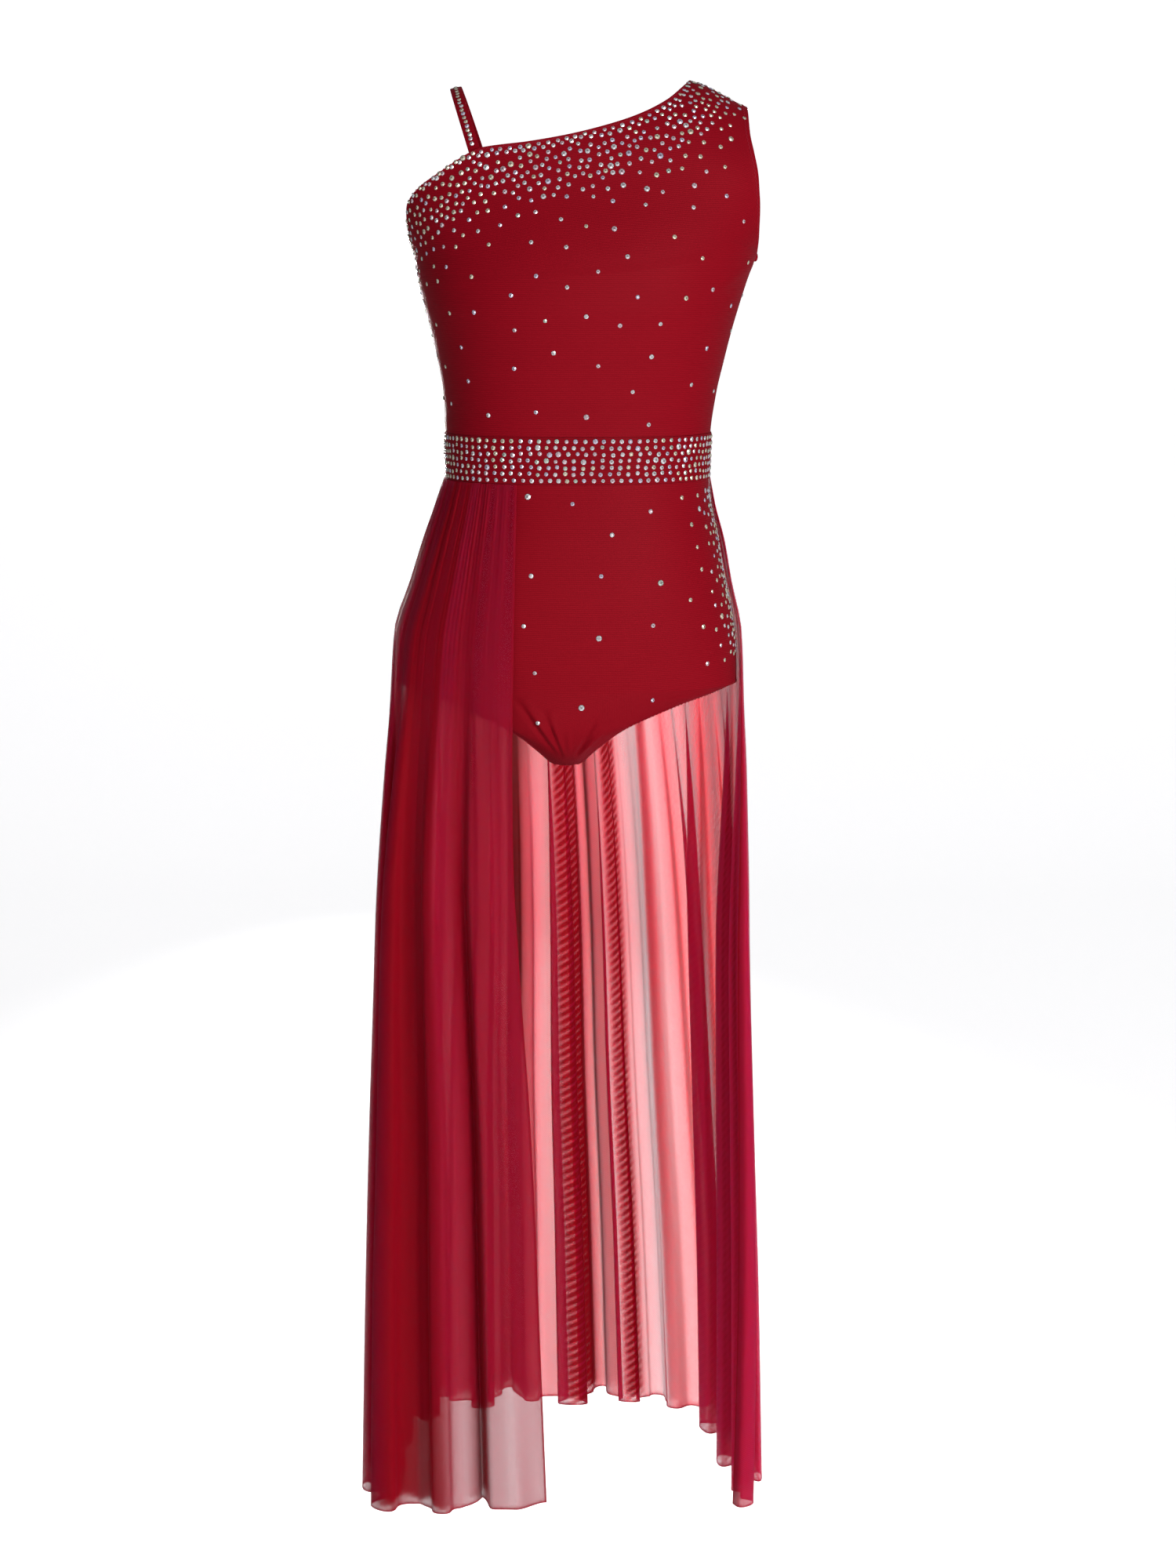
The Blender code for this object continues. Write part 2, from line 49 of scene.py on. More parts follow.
# The figure that the dress is cut for: one level section a row. X runs to the
# right, Y away, Z up, and zero is at the height of the shoulder seam.
figure = {
    "columns": ("z", "centre", "half", "front", "back"),
    "rows": (
        (-640, -10.6, 162.5, 70, 100), (-560, -10.6, 162.5, 88, 125), (-522, -9.5, 160.5, 95, 129),
        (-500, -8.5, 156.5, 98, 128), (-474, -7.0, 150.0, 100, 124), (-451, -5.5, 143.5, 100, 118),
        (-416, -3.5, 135.5, 98, 106), (-394, -2.0, 128.6, 95, 97), (-367, 0.0, 123.8, 92, 88),
        (-323, 0.4, 125.1, 92, 86), (-287, 2.2, 128.4, 97, 86), (-258, 3.2, 134.0, 104, 88),
        (-228, 3.8, 140.9, 112, 92), (-203, 4.2, 147.8, 117, 97), (-175, 6.0, 155.5, 115, 103),
        (-160, 7.5, 159.3, 112, 106), (-139, 8.5, 166.5, 105, 108), (-106, 9.5, 177.0, 92, 107),
        (-60, 10.5, 185.0, 77, 98), (-24, 10.8, 186.0, 68, 88), (10, 10.8, 184.0, 58, 76),
    ),
    "roundness": 2.3,
    "shoulderRound": 75.0,
}
shoulderLine = {
    "columns": ("x", "z"),
    "rows": ((-172, -22), (-113, -4), (-60, 5), (60, 5), (104, 0), (157, -24)),
}
seamGap = 0.3


def tableColumn(table, name):
    place = table["columns"].index(name)
    return np.array([row[place] for row in table["rows"]], float)


def along(table, key, name, at):
    # a table's column at any place between its rows, on a smooth curve
    x, y = tableColumn(table, key), tableColumn(table, name)
    if x[0] > x[-1]:
        x, y = x[::-1], y[::-1]
    step = np.diff(x)
    slope = np.diff(y) / step
    tangent = np.concatenate([[slope[0]], np.zeros(len(x) - 2), [slope[-1]]])
    sameWay = slope[:-1] * slope[1:] > 0
    mean = 2 * slope[:-1] * slope[1:] / np.where(sameWay, slope[:-1] + slope[1:], 1)
    tangent[1:-1] = np.where(sameWay, mean, 0)
    at = np.clip(np.asarray(at, float), x[0], x[-1])
    i = np.clip(np.searchsorted(x, at) - 1, 0, len(x) - 2)
    t = (at - x[i]) / step[i]
    return (
        y[i] * (1 + 2 * t) * (1 - t) ** 2
        + tangent[i] * step[i] * t * (1 - t) ** 2
        + y[i + 1] * t * t * (3 - 2 * t)
        + tangent[i + 1] * step[i] * t * t * (t - 1)
    )


def torso(name, z):
    return along(figure, "z", name, z)


def bulge(share):
    # depth of a section at a share of its half width, from 1 at the middle to 0
    roundness = figure["roundness"]
    return (1 - np.abs(share) ** roundness).clip(0) ** (1 / roundness)


def shareAt(angle):
    return np.sign(angle) * np.abs(np.sin(angle)) ** (2 / figure["roundness"])


def angleAt(share):
    return np.sign(share) * np.arcsin(np.clip(np.abs(share), 0, 1) ** (figure["roundness"] / 2))


def onFigure(share, z, side):
    # a point of the figure's front (side -1) or back (side 1)
    x = torso("centre", z) + torso("half", z) * share
    depth = torso("front" if side < 0 else "back", z) * bulge(share)
    below = along(shoulderLine, "x", "z", x) - z
    turn = 1 - np.clip(below, 0, figure["shoulderRound"]) / figure["shoulderRound"]
    y = side * (depth * np.sqrt((1 - turn**2).clip(0)) + seamGap / 2)
    return np.stack([x, y, z], axis=-1)


def unit(v):
    return v / np.maximum(np.linalg.norm(v, axis=-1, keepdims=True), 1e-9)


def normalsOf(grid, outward):
    n = unit(np.cross(np.gradient(grid, axis=1), np.gradient(grid, axis=0)))
    return n * np.sign((n * outward).sum())


def keepInPlane(normals, *rims):
    # the rim along a seam stays in the plane of the seam
    for edge, axis in rims:
        flat = normals[edge].copy()
        flat[..., "xyz".index(axis)] = 0
        normals[edge] = unit(flat)


firstRow, lastRow = (np.s_[0], "z"), (np.s_[-1], "z")
sideSeams = ((np.s_[:, 0], "y"), (np.s_[:, -1], "y"))


def lengthFrom(grid, axis, atEnd=False):
    # how far each point of the cloth is from the grid's first or last edge
    step = np.linalg.norm(np.diff(grid, axis=axis), axis=2)
    before = np.pad(step.cumsum(axis=axis), ((1, 0), (0, 0)) if axis == 0 else ((0, 0), (1, 0)))
    return np.take(before, [-1], axis=axis) - before if atEnd else before


def ramp(value, low, high):
    t = np.clip((value - low) / (high - low), 0, 1)
    return t * t * (3 - 2 * t)


def atGrid(grid, row, column):
    # a grid's value between its points
    row, column = np.asarray(row, float), np.asarray(column, float)
    r = np.clip(np.floor(row).astype(int), 0, grid.shape[0] - 2)
    c = np.clip(np.floor(column).astype(int), 0, grid.shape[1] - 2)
    s, t = row - r, column - c
    if grid.ndim == 3:
        s, t = s[..., None], t[..., None]
    top = grid[r, c] * (1 - t) + grid[r, c + 1] * t
    low = grid[r + 1, c] * (1 - t) + grid[r + 1, c + 1] * t
    return top * (1 - s) + low * s


def newPiece(name, points, faces=(), edges=()):
    mesh = bpy.data.meshes.new(name)
    mesh.from_pydata(points, edges, faces)
    piece = bpy.data.objects.new(name, mesh)
    scene.collection.objects.link(piece)
    return piece


def layFlat(mesh, flat):
    # where each point lies on the flat cloth, in mm
    corners = np.empty(len(mesh.loops), int)
    mesh.loops.foreach_get("vertex_index", corners)
    layer = mesh.uv_layers.new(name="cloth")
    layer.data.foreach_set("uv", (flat[corners] * mm).ravel())


def markMesh(mesh, name, values, kind="FLOAT", domain="POINT"):
    key = {"FLOAT": "value", "FLOAT_VECTOR": "vector", "FLOAT_COLOR": "color"}[kind]
    mesh.attributes.new(name, kind, domain).data.foreach_set(key, np.ravel(values))


def sewCloth(name, outer, inner, slot, flat=None, marks=None):
    # one piece of cloth: the wall between two grids of points, closed all round
    rows, columns = outer.shape[:2]
    count = rows * columns
    points = np.concatenate([outer.reshape(-1, 3), inner.reshape(-1, 3)]) * mm
    number = np.arange(count).reshape(rows, columns)
    a, b = number[:-1, :-1].ravel(), number[:-1, 1:].ravel()
    d, e = number[1:, 1:].ravel(), number[1:, :-1].ravel()
    rim = np.concatenate([number[0, :], number[1:, -1], number[-1, -2::-1], number[-2:0:-1, 0]])
    onward = np.roll(rim, -1)
    outside, inside = np.stack([a, b, d, e], axis=1), np.stack([a, e, d, b], axis=1) + count
    around = np.stack([onward, rim, rim + count, onward + count], axis=1)
    faces = np.concatenate([outside, inside, around])
    p, q, r, s = (points[faces[:, i]] for i in range(4))
    if ((np.cross(q - p, r - p) + np.cross(r - p, s - p)) * p).sum() < 0:
        faces = faces[:, ::-1]
    piece = newPiece(name, points, faces.tolist())
    mesh = piece.data
    if flat is None:
        across = lengthFrom(outer, 1)
        flat = np.stack([across - across[:, columns // 2][:, None], lengthFrom(outer, 0)], axis=-1)
    layFlat(mesh, np.tile(flat.reshape(-1, 2), (2, 1)))
    for mark, value in (marks or {}).items():
        markMesh(mesh, mark, np.tile(value.ravel(), 2))
    mesh.materials.append(cloths[slot])
    mesh.shade_smooth()
    mesh.set_sharp_from_angle(angle=sharpAngle)
    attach(piece, "root")
    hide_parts(name.removesuffix("_cloth"))
    return piece


def setInputs(tree, node, inputs):
    for key, value in inputs.items():
        if isinstance(value, bpy.types.NodeSocket):
            tree.links.new(value, node.inputs[key])
        else:
            node.inputs[key].default_value = value


def addNode(tree, kind, inputs=None, **settings):
    node = tree.nodes.new(kind)
    for key, value in settings.items():
        setattr(node, key, value)
    setInputs(tree, node, inputs or {})
    return node.outputs


def maths(tree, operation, *values):
    return addNode(tree, "ShaderNodeMath", dict(enumerate(values)), operation=operation)[0]


def mixColours(tree, factor, first, second):
    values = {0: factor, 6: first, 7: second}
    return addNode(tree, "ShaderNodeMix", values, data_type="RGBA")[2]


def noise(tree, place, scale):
    return addNode(tree, "ShaderNodeTexNoise", {"Vector": place, "Scale": scale})[0]


def readMark(tree, name, output="Fac"):
    return addNode(tree, "ShaderNodeAttribute", attribute_name=name)[output]


def newGroup(kind, name, inputs, outputs):
    # each socket has the name of its kind, or the number that it starts with
    group = bpy.data.node_groups.new(name, kind)
    for way, sockets in (("INPUT", inputs), ("OUTPUT", outputs)):
        for label, value in sockets.items():
            named = isinstance(value, str)
            socket = "NodeSocket" + (value if named else type(value).__name__.capitalize())
            made = group.interface.new_socket(label, in_out=way, socket_type=socket)
            if not named:
                made.default_value = value
    return group, group.nodes.new("NodeGroupInput").outputs, group.nodes.new("NodeGroupOutput").inputs


def newMaterial(name, shaderValues):
    material = bpy.data.materials.new(name)
    material.use_nodes = True
    shader = material.node_tree.nodes["Principled BSDF"]
    setInputs(material.node_tree, shader, shaderValues)
    return material, material.node_tree, shader


ribs = {
    "sizes": {"Course Pitch": 0.0018, "Wale Pitch": 0.0011, "Waver": 1.2},
    "waverScale": 70.0,
    "fuzzScale": 900.0,
    "relief": {"course": 0.7, "wale": 0.3},
    "shade": {"course": 0.6, "fuzz": 0.5},
}


def makeRibGroup():
    # fine courses across the cloth, with fainter wales down it
    inputs, outputs = {"Place": "Vector", **ribs["sizes"]}, {"Shade": "Float", "Relief": "Float"}
    tree, given, out = newGroup("ShaderNodeTree", "knitRibs", inputs, outputs)
    calc = partial(maths, tree)
    part = addNode(tree, "ShaderNodeSeparateXYZ", {0: given["Place"]})
    waver = calc("MULTIPLY", noise(tree, given["Place"], ribs["waverScale"]), given["Waver"])
    turns = calc("DIVIDE", part["Y"], given["Course Pitch"])
    course = calc("SINE", calc("MULTIPLY_ADD", turns, math.tau, waver))
    turns = calc("DIVIDE", part["X"], given["Wale Pitch"])
    wale = calc("SINE", calc("MULTIPLY", turns, math.tau))
    course, wale = (calc("MULTIPLY_ADD", wave, 0.5, 0.5) for wave in (course, wale))
    fuzz = noise(tree, given["Place"], ribs["fuzzScale"])
    # Shade is light on the courses and dark between them, a painted shade in the rib valleys, with random
    # fuzz in tone
    for name, other, key in (("Relief", wale, "wale"), ("Shade", fuzz, "fuzz")):
        shares = ribs[name.lower()]
        mixed = calc("MULTIPLY_ADD", other, shares[key], calc("MULTIPLY", course, shares["course"]))
        tree.links.new(mixed, out[name])
    return tree


netCells = {"Cell Width": 0.0014, "Cell Height": 0.0020, "Bar Pitch": 0.0085}
barSlant = 1.7


def makeNetGroup():
    # slanting yarns that leave small lens-shaped holes between them
    inputs, outputs = {"Place": "Vector", **netCells}, {"Yarn": "Float", "Bars": "Float"}
    tree, given, out = newGroup("ShaderNodeTree", "netCells", inputs, outputs)
    calc = partial(maths, tree)
    part = addNode(tree, "ShaderNodeSeparateXYZ", {0: given["Place"]})
    across = calc("DIVIDE", part["X"], given["Cell Width"])
    down = calc("DIVIDE", part["Y"], given["Cell Height"])
    slant, other = (
        calc("SINE", calc("MULTIPLY", calc(way, across, down), math.pi)) for way in ("ADD", "SUBTRACT")
    )
    hole = calc("ABSOLUTE", calc("MULTIPLY", slant, other))
    tree.links.new(calc("SUBTRACT", 1.0, hole), out["Yarn"])
    # slanting bars that two nets make where one lies on the other
    slant = calc("MULTIPLY_ADD", part["X"], barSlant, part["Y"])
    bars = calc("DIVIDE", slant, given["Bar Pitch"])
    tree.links.new(calc("SINE", calc("MULTIPLY", bars, math.tau)), out["Bars"])
    return tree


ribGroup, netGroup = makeRibGroup(), makeNetGroup()
knitPatches = {"scale": 14.0, "shade": 0.35, "roughness": 0.14, "reliefDepth": 0.0003}


def knitMaterial(name, deep, light, bump, shaderValues):
    material, tree, shader = newMaterial(name, shaderValues)
    cloth = addNode(tree, "ShaderNodeUVMap", uv_map="cloth")[0]
    rib = addNode(tree, "ShaderNodeGroup", {"Place": cloth}, node_tree=ribGroup)
    body = addNode(tree, "ShaderNodeTexCoord")["Object"]
    patch = noise(tree, body, knitPatches["scale"])
    # the ribs' Shade paints shade between the courses; the noise patches are random tone
    colour = mixColours(tree, rib["Shade"], (*deep, 1), (*light, 1))
    colour = mixColours(tree, maths(tree, "MULTIPLY", patch, knitPatches["shade"]), colour, (*deep, 1))
    spread = knitPatches["roughness"]
    rough = maths(tree, "MULTIPLY_ADD", patch, spread, shaderValues["Roughness"] - spread / 2)
    values = {"Height": rib["Relief"], "Strength": bump, "Distance": knitPatches["reliefDepth"]}
    relief = addNode(tree, "ShaderNodeBump", values)[0]
    setInputs(tree, shader, {"Base Color": colour, "Roughness": rough, "Normal": relief})
    return material


netDepth = {"thin": 0.7, "thick": 3.4}


def netMaterial(name, deep, light, cover, shaderValues):
    # each of the two faces of the cloth lets part of the light through
    material, tree, shader = newMaterial(name, shaderValues)
    calc = partial(maths, tree)
    cloth = addNode(tree, "ShaderNodeUVMap", uv_map="cloth")[0]
    cells = addNode(tree, "ShaderNodeGroup", {"Place": cloth}, node_tree=netGroup)
    single = calc("MULTIPLY_ADD", cells["Yarn"], cover[1] - cover[0], cover[0])
    bars = calc("MULTIPLY_ADD", cells["Bars"], readMark(tree, "hatched"), 1.0)
    layers = calc("MULTIPLY", readMark(tree, "cover"), bars)
    through = calc("POWER", calc("SUBTRACT", 1.0, single), layers)
    # one net takes the pale colour, a painted backlight, where its glow mark is high,
    # and several nets on each other take the deep colour, a painted shade
    values = {0: layers, 1: netDepth["thin"], 2: netDepth["thick"], 3: 1.0, 4: 0.0}
    glow = calc("MULTIPLY", addNode(tree, "ShaderNodeMapRange", values)[0], readMark(tree, "glow"))
    colour = mixColours(tree, glow, (*deep, 1), (*light, 1))
    setInputs(tree, shader, {"Alpha": calc("SUBTRACT", 1.0, through), "Base Color": colour})
    return material


# painted glints from a fine noise, and the colour of the painted shade on table and setting
stoneLook = {"paintedGlintScale": 800.0, "paintedGlint": 0.7, "steady": 0.62, "paintedShade": (0.05, 0.004, 0.01, 1)}


def stoneMaterial(name, shaderValues):
    # clear foiled stones, each with its tint, in painted light: a bright crown of facets as painted
    # reflections, every other facet dimmer, a darker table and setting as painted shade, noise as painted
    # glints
    material, tree, shader = newMaterial(name, shaderValues)
    body = addNode(tree, "ShaderNodeTexCoord")["Object"]
    paintedGlint = noise(tree, body, stoneLook["paintedGlintScale"])
    bright = maths(tree, "MULTIPLY_ADD", paintedGlint, stoneLook["paintedGlint"], stoneLook["steady"])
    lit = maths(tree, "MULTIPLY", readMark(tree, "facet"), bright)
    colour = mixColours(tree, lit, stoneLook["paintedShade"], readMark(tree, "tint", "Color"))
    setInputs(tree, shader, {"Base Color": colour})
    return material


sheen = {"Sheen Roughness": 0.4, "Sheen Tint": (1.0, 0.3, 0.4, 1)}
cloths = {
    "stretch_knit": knitMaterial(
        "stretchKnit",
        deep=(0.185, 0.0012, 0.0065),
        light=(0.30, 0.0025, 0.0105),
        bump=0.5,
        shaderValues={"Roughness": 0.6, "Specular IOR Level": 0.05, "Sheen Weight": 0.05, **sheen},
    ),
    "waistband_knit": knitMaterial(
        "waistbandKnit",
        deep=(0.16, 0.001, 0.0055),
        light=(0.27, 0.002, 0.009),
        bump=0.4,
        shaderValues={"Roughness": 0.62, "Specular IOR Level": 0.05, "Sheen Weight": 0.04, **sheen},
    ),
    # the net's light colour is a painted backlight on one net, and its deep colour, where nets lie on each
    # other, is partly painted shade
    "sheer_mesh": netMaterial(
        "sheerNet",
        deep=(0.27, 0.002, 0.009),
        light=(0.96, 0.03, 0.15),
        cover=(0.45, 0.58),
        shaderValues={
            "Roughness": 0.65,
            "Specular IOR Level": 0.04,
            "Subsurface Weight": 1.0,
            "Subsurface Radius": (1.0, 0.3, 0.6),
            "Subsurface Scale": 0.002,
            "Sheen Weight": 0.03,
            **sheen,
        },
    ),
}
threadValues = {"Base Color": (0.3, 0.008, 0.022, 1), "Roughness": 0.55, "Specular IOR Level": 0.2}
thread = newMaterial("sewingThread", threadValues)[0]
crystal = stoneMaterial("clearStone", {"Metallic": 0.45, "Roughness": 0.16, "Specular IOR Level": 0.8})
print("materials made")

# Turned and stitched edge of the knit: the hem is two cloths thick
turnedEdge = {"width": 6.0, "lift": 0.45, "soft": 1.2, "inset": 4.4, "groove": 0.16, "grooveWidth": 0.9}
creaseShape = {"start": 0.14, "power": 0.7}
knitWall = 1.0
farAway = 40.0


def turnEdge(outer, normals, distance):
    width, soft = turnedEdge["width"], turnedEdge["soft"]
    lift = turnedEdge["lift"] * (1 - ramp(distance, width - soft, width + soft))
    off = (distance - turnedEdge["inset"]) / turnedEdge["grooveWidth"]
    lift = lift - turnedEdge["groove"] * np.exp(-(off**2))
    return outer + normals * lift[..., None]


def creaseCloth(outer, normals, creases):
    # each crease is a soft ridge, or a trough where its depth is negative
    move, first = np.zeros(outer.shape[:2]), creaseShape["start"]
    for x1, z1, x2, z2, width, depth in creases:
        start, way = np.array([x1, z1], float), np.array([x2 - x1, z2 - z1], float)
        place = outer[..., [0, 2]] - start
        t = (place @ way) / (way @ way)
        off = np.linalg.norm(place - np.clip(t, 0, 1)[..., None] * way, axis=-1)
        fade = np.sin(math.pi * np.clip(t * (1 - first) + first, 0, 1)).clip(0) ** creaseShape["power"]
        move += depth * np.exp(-((off / width) ** 2)) * fade
    return outer + normals * move[..., None]


def sewKnit(name, grid, normals, creases, creaseNormals, edgeNormals, edgeGap, **places):
    # a panel of the knit, with its creases and its turned edge
    shaped = creaseCloth(grid, creaseNormals, creases)
    outer = turnEdge(shaped, edgeNormals, edgeGap)
    piece = sewCloth(name, outer, shaped - normals * knitWall, "stretch_knit")
    return {"piece": piece, "grid": outer, "normals": normals, **places}


# Bodice: neckline and armholes
bodiceCut = {
    "bandTop": -323.0,
    "neckline": {
        "columns": ("x", "z"),
        "rows": (
            (-152, -106), (-144, -97), (-126, -84.6), (-97, -66.5), (-87, -62.3), (-43, -56.7),
            (-7, -50.4), (29, -41.4), (55, -32.7), (81, -19.5), (104, 0),
        ),
    },
    "shoulderTipX": 157.0,
    "sideCrowding": 0.6,
    "topCrowding": 0.5,
    "neckShare": 18 / 22,
    "backNeckDrop": 12.0,
    "leftArmhole": {
        "columns": ("z", "share"),
        "rows": ((-150, 1.0), (-139, 0.99), (-125, 0.97), (-113, 0.945), (-106, 0.912)),
    },
    "rightArmhole": {
        "columns": ("z", "share"),
        "rows": (
            (-161, 1.0), (-147, 0.971), (-130, 0.935), (-106, 0.890), (-86, 0.857), (-65, 0.818),
            (-48, 0.796), (-24, 0.786),
        ),
    },
    "seamBlend": (-4, 6),
    "creaseRoom": (1, 9),
    "columnCount": 131,
    "rowCount": 112,
}
# Creases run from one point (x, z) to another, with a width and a depth
bodiceCreases = {
    "front": (
        (160, -168, 118, -196, 5.0, 0.7), (162, -176, 112, -214, 6.0, -0.7),
        (156, -150, 126, -158, 4.0, 0.5), (-146, -140, -118, -168, 5.0, -0.6),
        (-134, -300, -60, -312, 7.0, -0.6), (118, -306, 66, -316, 6.0, -0.5),
    ),
    "back": (
        (150, -170, 96, -206, 6.0, -0.8), (140, -150, 104, -166, 5.0, 0.6),
        (-138, -150, -92, -186, 6.0, -0.7), (-120, -286, 118, -292, 8.0, -1.1),
        (-112, -305, 104, -302, 6.0, 0.8), (-96, -262, 70, -268, 7.0, -0.7),
    ),
}


def backNeckDrop(x):
    first, last = bodiceCut["neckline"]["rows"][0][0], bodiceCut["neckline"]["rows"][-1][0]
    return bodiceCut["backNeckDrop"] * np.sin(math.pi * (x - first) / (last - first))


def bodiceGrid(side):
    # outer face of the bodice's front or back, from the waist to the top
    t = np.linspace(0, 1, bodiceCut["columnCount"])
    u = t - bodiceCut["sideCrowding"] * np.sin(math.tau * t) / math.tau
    neckShare, neckline = bodiceCut["neckShare"], bodiceCut["neckline"]
    neckColumn = np.abs(u - neckShare).argmin()
    u[neckColumn] = neckShare
    onShoulder = np.clip((u - neckShare) / (1 - neckShare), 0, 1)
    neckFrom, neckTo = neckline["rows"][0][0], neckline["rows"][-1][0]
    topX = neckFrom + (neckTo - neckFrom) * np.clip(u / neckShare, 0, 1)
    topZ = along(neckline, "x", "z", topX)
    if side > 0:
        topZ = topZ - backNeckDrop(topX)
    topX = topX + (bodiceCut["shoulderTipX"] - neckTo) * onShoulder
    topZ = np.where(onShoulder > 0, along(shoulderLine, "x", "z", topX), topZ)
    topAngle = angleAt((topX - torso("centre", topZ)) / torso("half", topZ))
    topU = (topAngle - topAngle[0]) / (topAngle[-1] - topAngle[0])
    waist = bodiceCut["bandTop"] + seamGap / 2
    climbs, crowding = np.linspace(0, 1, bodiceCut["rowCount"]), bodiceCut["topCrowding"]
    grid = []
    for climb in climbs * (1 + crowding - crowding * climbs):
        z = waist + (topZ - waist) * climb
        left = -angleAt(along(bodiceCut["leftArmhole"], "z", "share", z[0]))
        right = angleAt(along(bodiceCut["rightArmhole"], "z", "share", z[-1]))
        angle = left + (right - left) * (u + (topU - u) * climb**2)
        grid.append(onFigure(shareAt(angle), z, side))
    grid = np.array(grid)
    grid[-1, neckColumn:, 1] = side * seamGap / 2  # front and back meet all along the shoulder
    return grid, neckColumn


def armholeGap(grid, table, atEnd):
    # distance from the armhole's edge, far away where the side seam takes over
    edge = grid[:, -1 if atEnd else 0, 2]
    beside = ramp(table["rows"][0][0] - edge, *bodiceCut["seamBlend"])
    return lengthFrom(grid, 1, atEnd) + farAway * beside[:, None]


def buildBodice(name, side, creases):
    grid, neckColumn = bodiceGrid(side)
    normals = normalsOf(grid, np.array([0, side, 0]))
    keepInPlane(normals, firstRow, *sideSeams, (np.s_[-1, neckColumn:], "y"))
    onSeam = ramp(np.arange(grid.shape[1]), neckColumn, neckColumn + 1)
    edge = lengthFrom(grid, 0, True) + farAway * onSeam[None]
    edge = np.minimum(edge, armholeGap(grid, bodiceCut["leftArmhole"], False))
    edge = np.minimum(edge, armholeGap(grid, bodiceCut["rightArmhole"], True))
    inside = normals * ramp(edge, *bodiceCut["creaseRoom"])[..., None]
    return sewKnit(name, grid, normals, creases, inside, normals, edge, neckColumn=neckColumn)


bodiceFront = buildBodice("bodice_front_cloth", -1, bodiceCreases["front"])
bodiceBack = buildBodice("bodice_back_cloth", 1, bodiceCreases["back"])
print("bodice sewn")

waistband = {
    "top": -323.0,
    "bottom": -366.0,
    "proud": 1.4,
    "wall": 1.5,
    "columnCount": 121,
    "rowCount": 17,
    "edgeRound": 0.5,
    "edgePower": 6,
}


def buildWaistband(name, side):
    share = shareAt(np.linspace(-math.pi / 2, math.pi / 2, waistband["columnCount"]))
    low, high = waistband["bottom"] + seamGap / 2, waistband["top"] - seamGap / 2
    levels = high + (low - high) * np.linspace(0, 1, waistband["rowCount"])
    flat = np.array([onFigure(share, np.full(len(share), z), side) for z in levels])
    normals = normalsOf(flat, np.array([0, side, 0]))
    keepInPlane(normals, firstRow, lastRow, *sideSeams)
    middle, proud = np.abs(np.linspace(-1, 1, len(levels))), waistband["proud"]
    rounding = waistband["edgeRound"] * middle ** waistband["edgePower"]
    outer = flat + normals * (proud - rounding)[:, None, None]
    piece = sewCloth(name, outer, flat + normals * (proud - waistband["wall"]), "waistband_knit")
    return {"piece": piece, "grid": outer, "normals": normals}


bandFront = buildWaistband("waistband_front_cloth", -1)
bandBack = buildWaistband("waistband_back_cloth", 1)
print("waistband sewn")

# Brief: level sections down to the hip, then sections that end at the leg openings
briefCut = {
    "top": -366.0,
    "hip": -560.0,
    "hipRows": 42,
    "flapRows": 61,
    "columnCount": 125,
    "bow": 2.4,
    "sideCrowding": 0.5,
    "flatRow": 3,
    "turnUnder": 0.85,
    "turnSpeed": 2.5,
    "seamBlend": (0, 8),
    "edgeRows": (0, 5),
    "columns": ("row", "edgeX", "edgeY", "edgeZ", "midY", "midZ"),
}
frontFlap = {
    "columns": briefCut["columns"],
    "rows": (
        (0, 162.5, 0, -560, -88, -560), (1, 136, -42, -566, -87.5, -571),
        (2, 110, -62, -573, -87, -582), (3, 87, -74, -581, -86, -593),
        (4, 65, -79, -590, -82, -604), (5, 41, -71, -606, -73, -617), (6, 23, -50, -624, -54, -630),
        (7, 15, -22, -636, -25, -638.5), (8, 14, 0, -639, 0, -640),
    ),
}
backFlap = {
    "columns": briefCut["columns"],
    "rows": (
        (0, 162.5, 0, -560, 125, -560), (1, 138, 62, -571, 121, -575),
        (2, 108, 92, -586, 114, -590), (3, 80, 98, -602, 103, -605), (4, 54, 89, -617, 88, -618.5),
        (5, 34, 68, -629, 66, -630), (6, 21, 42, -636, 41, -636.5), (7, 15, 18, -639, 17, -639.5),
        (8, 14, 0, -639, 0, -640),
    ),
}
briefCreases = {
    "front": (
        (-57, -566, -19, -622, 2.6, -2.3), (-50, -566, -15, -622, 2.6, 1.6),
        (-31, -576, -14, -624, 2.2, -2.1), (-26, -580, -10, -626, 2.2, 1.4),
        (16, -588, -2, -624, 2.2, -2.1), (24, -596, 1, -622, 2.4, 1.5),
        (12, -603, -1, -622, 1.8, -1.5), (-70, -598, -24, -618, 3.0, -0.7),
        (52, -590, 12, -612, 3.4, -0.7), (-8, -596, -8, -625, 2.2, 0.8),
    ),
    "back": (
        (-12, -470, -11, -600, 8.0, -2.2), (-74, -580, -30, -612, 6.0, -1.4),
        (-58, -560, -24, -612, 5.0, 1.0), (52, -578, 10, -614, 6.0, -1.4),
        (36, -556, 6, -612, 5.0, 1.1), (-100, -392, 96, -388, 7.0, -1.0),
    ),
}


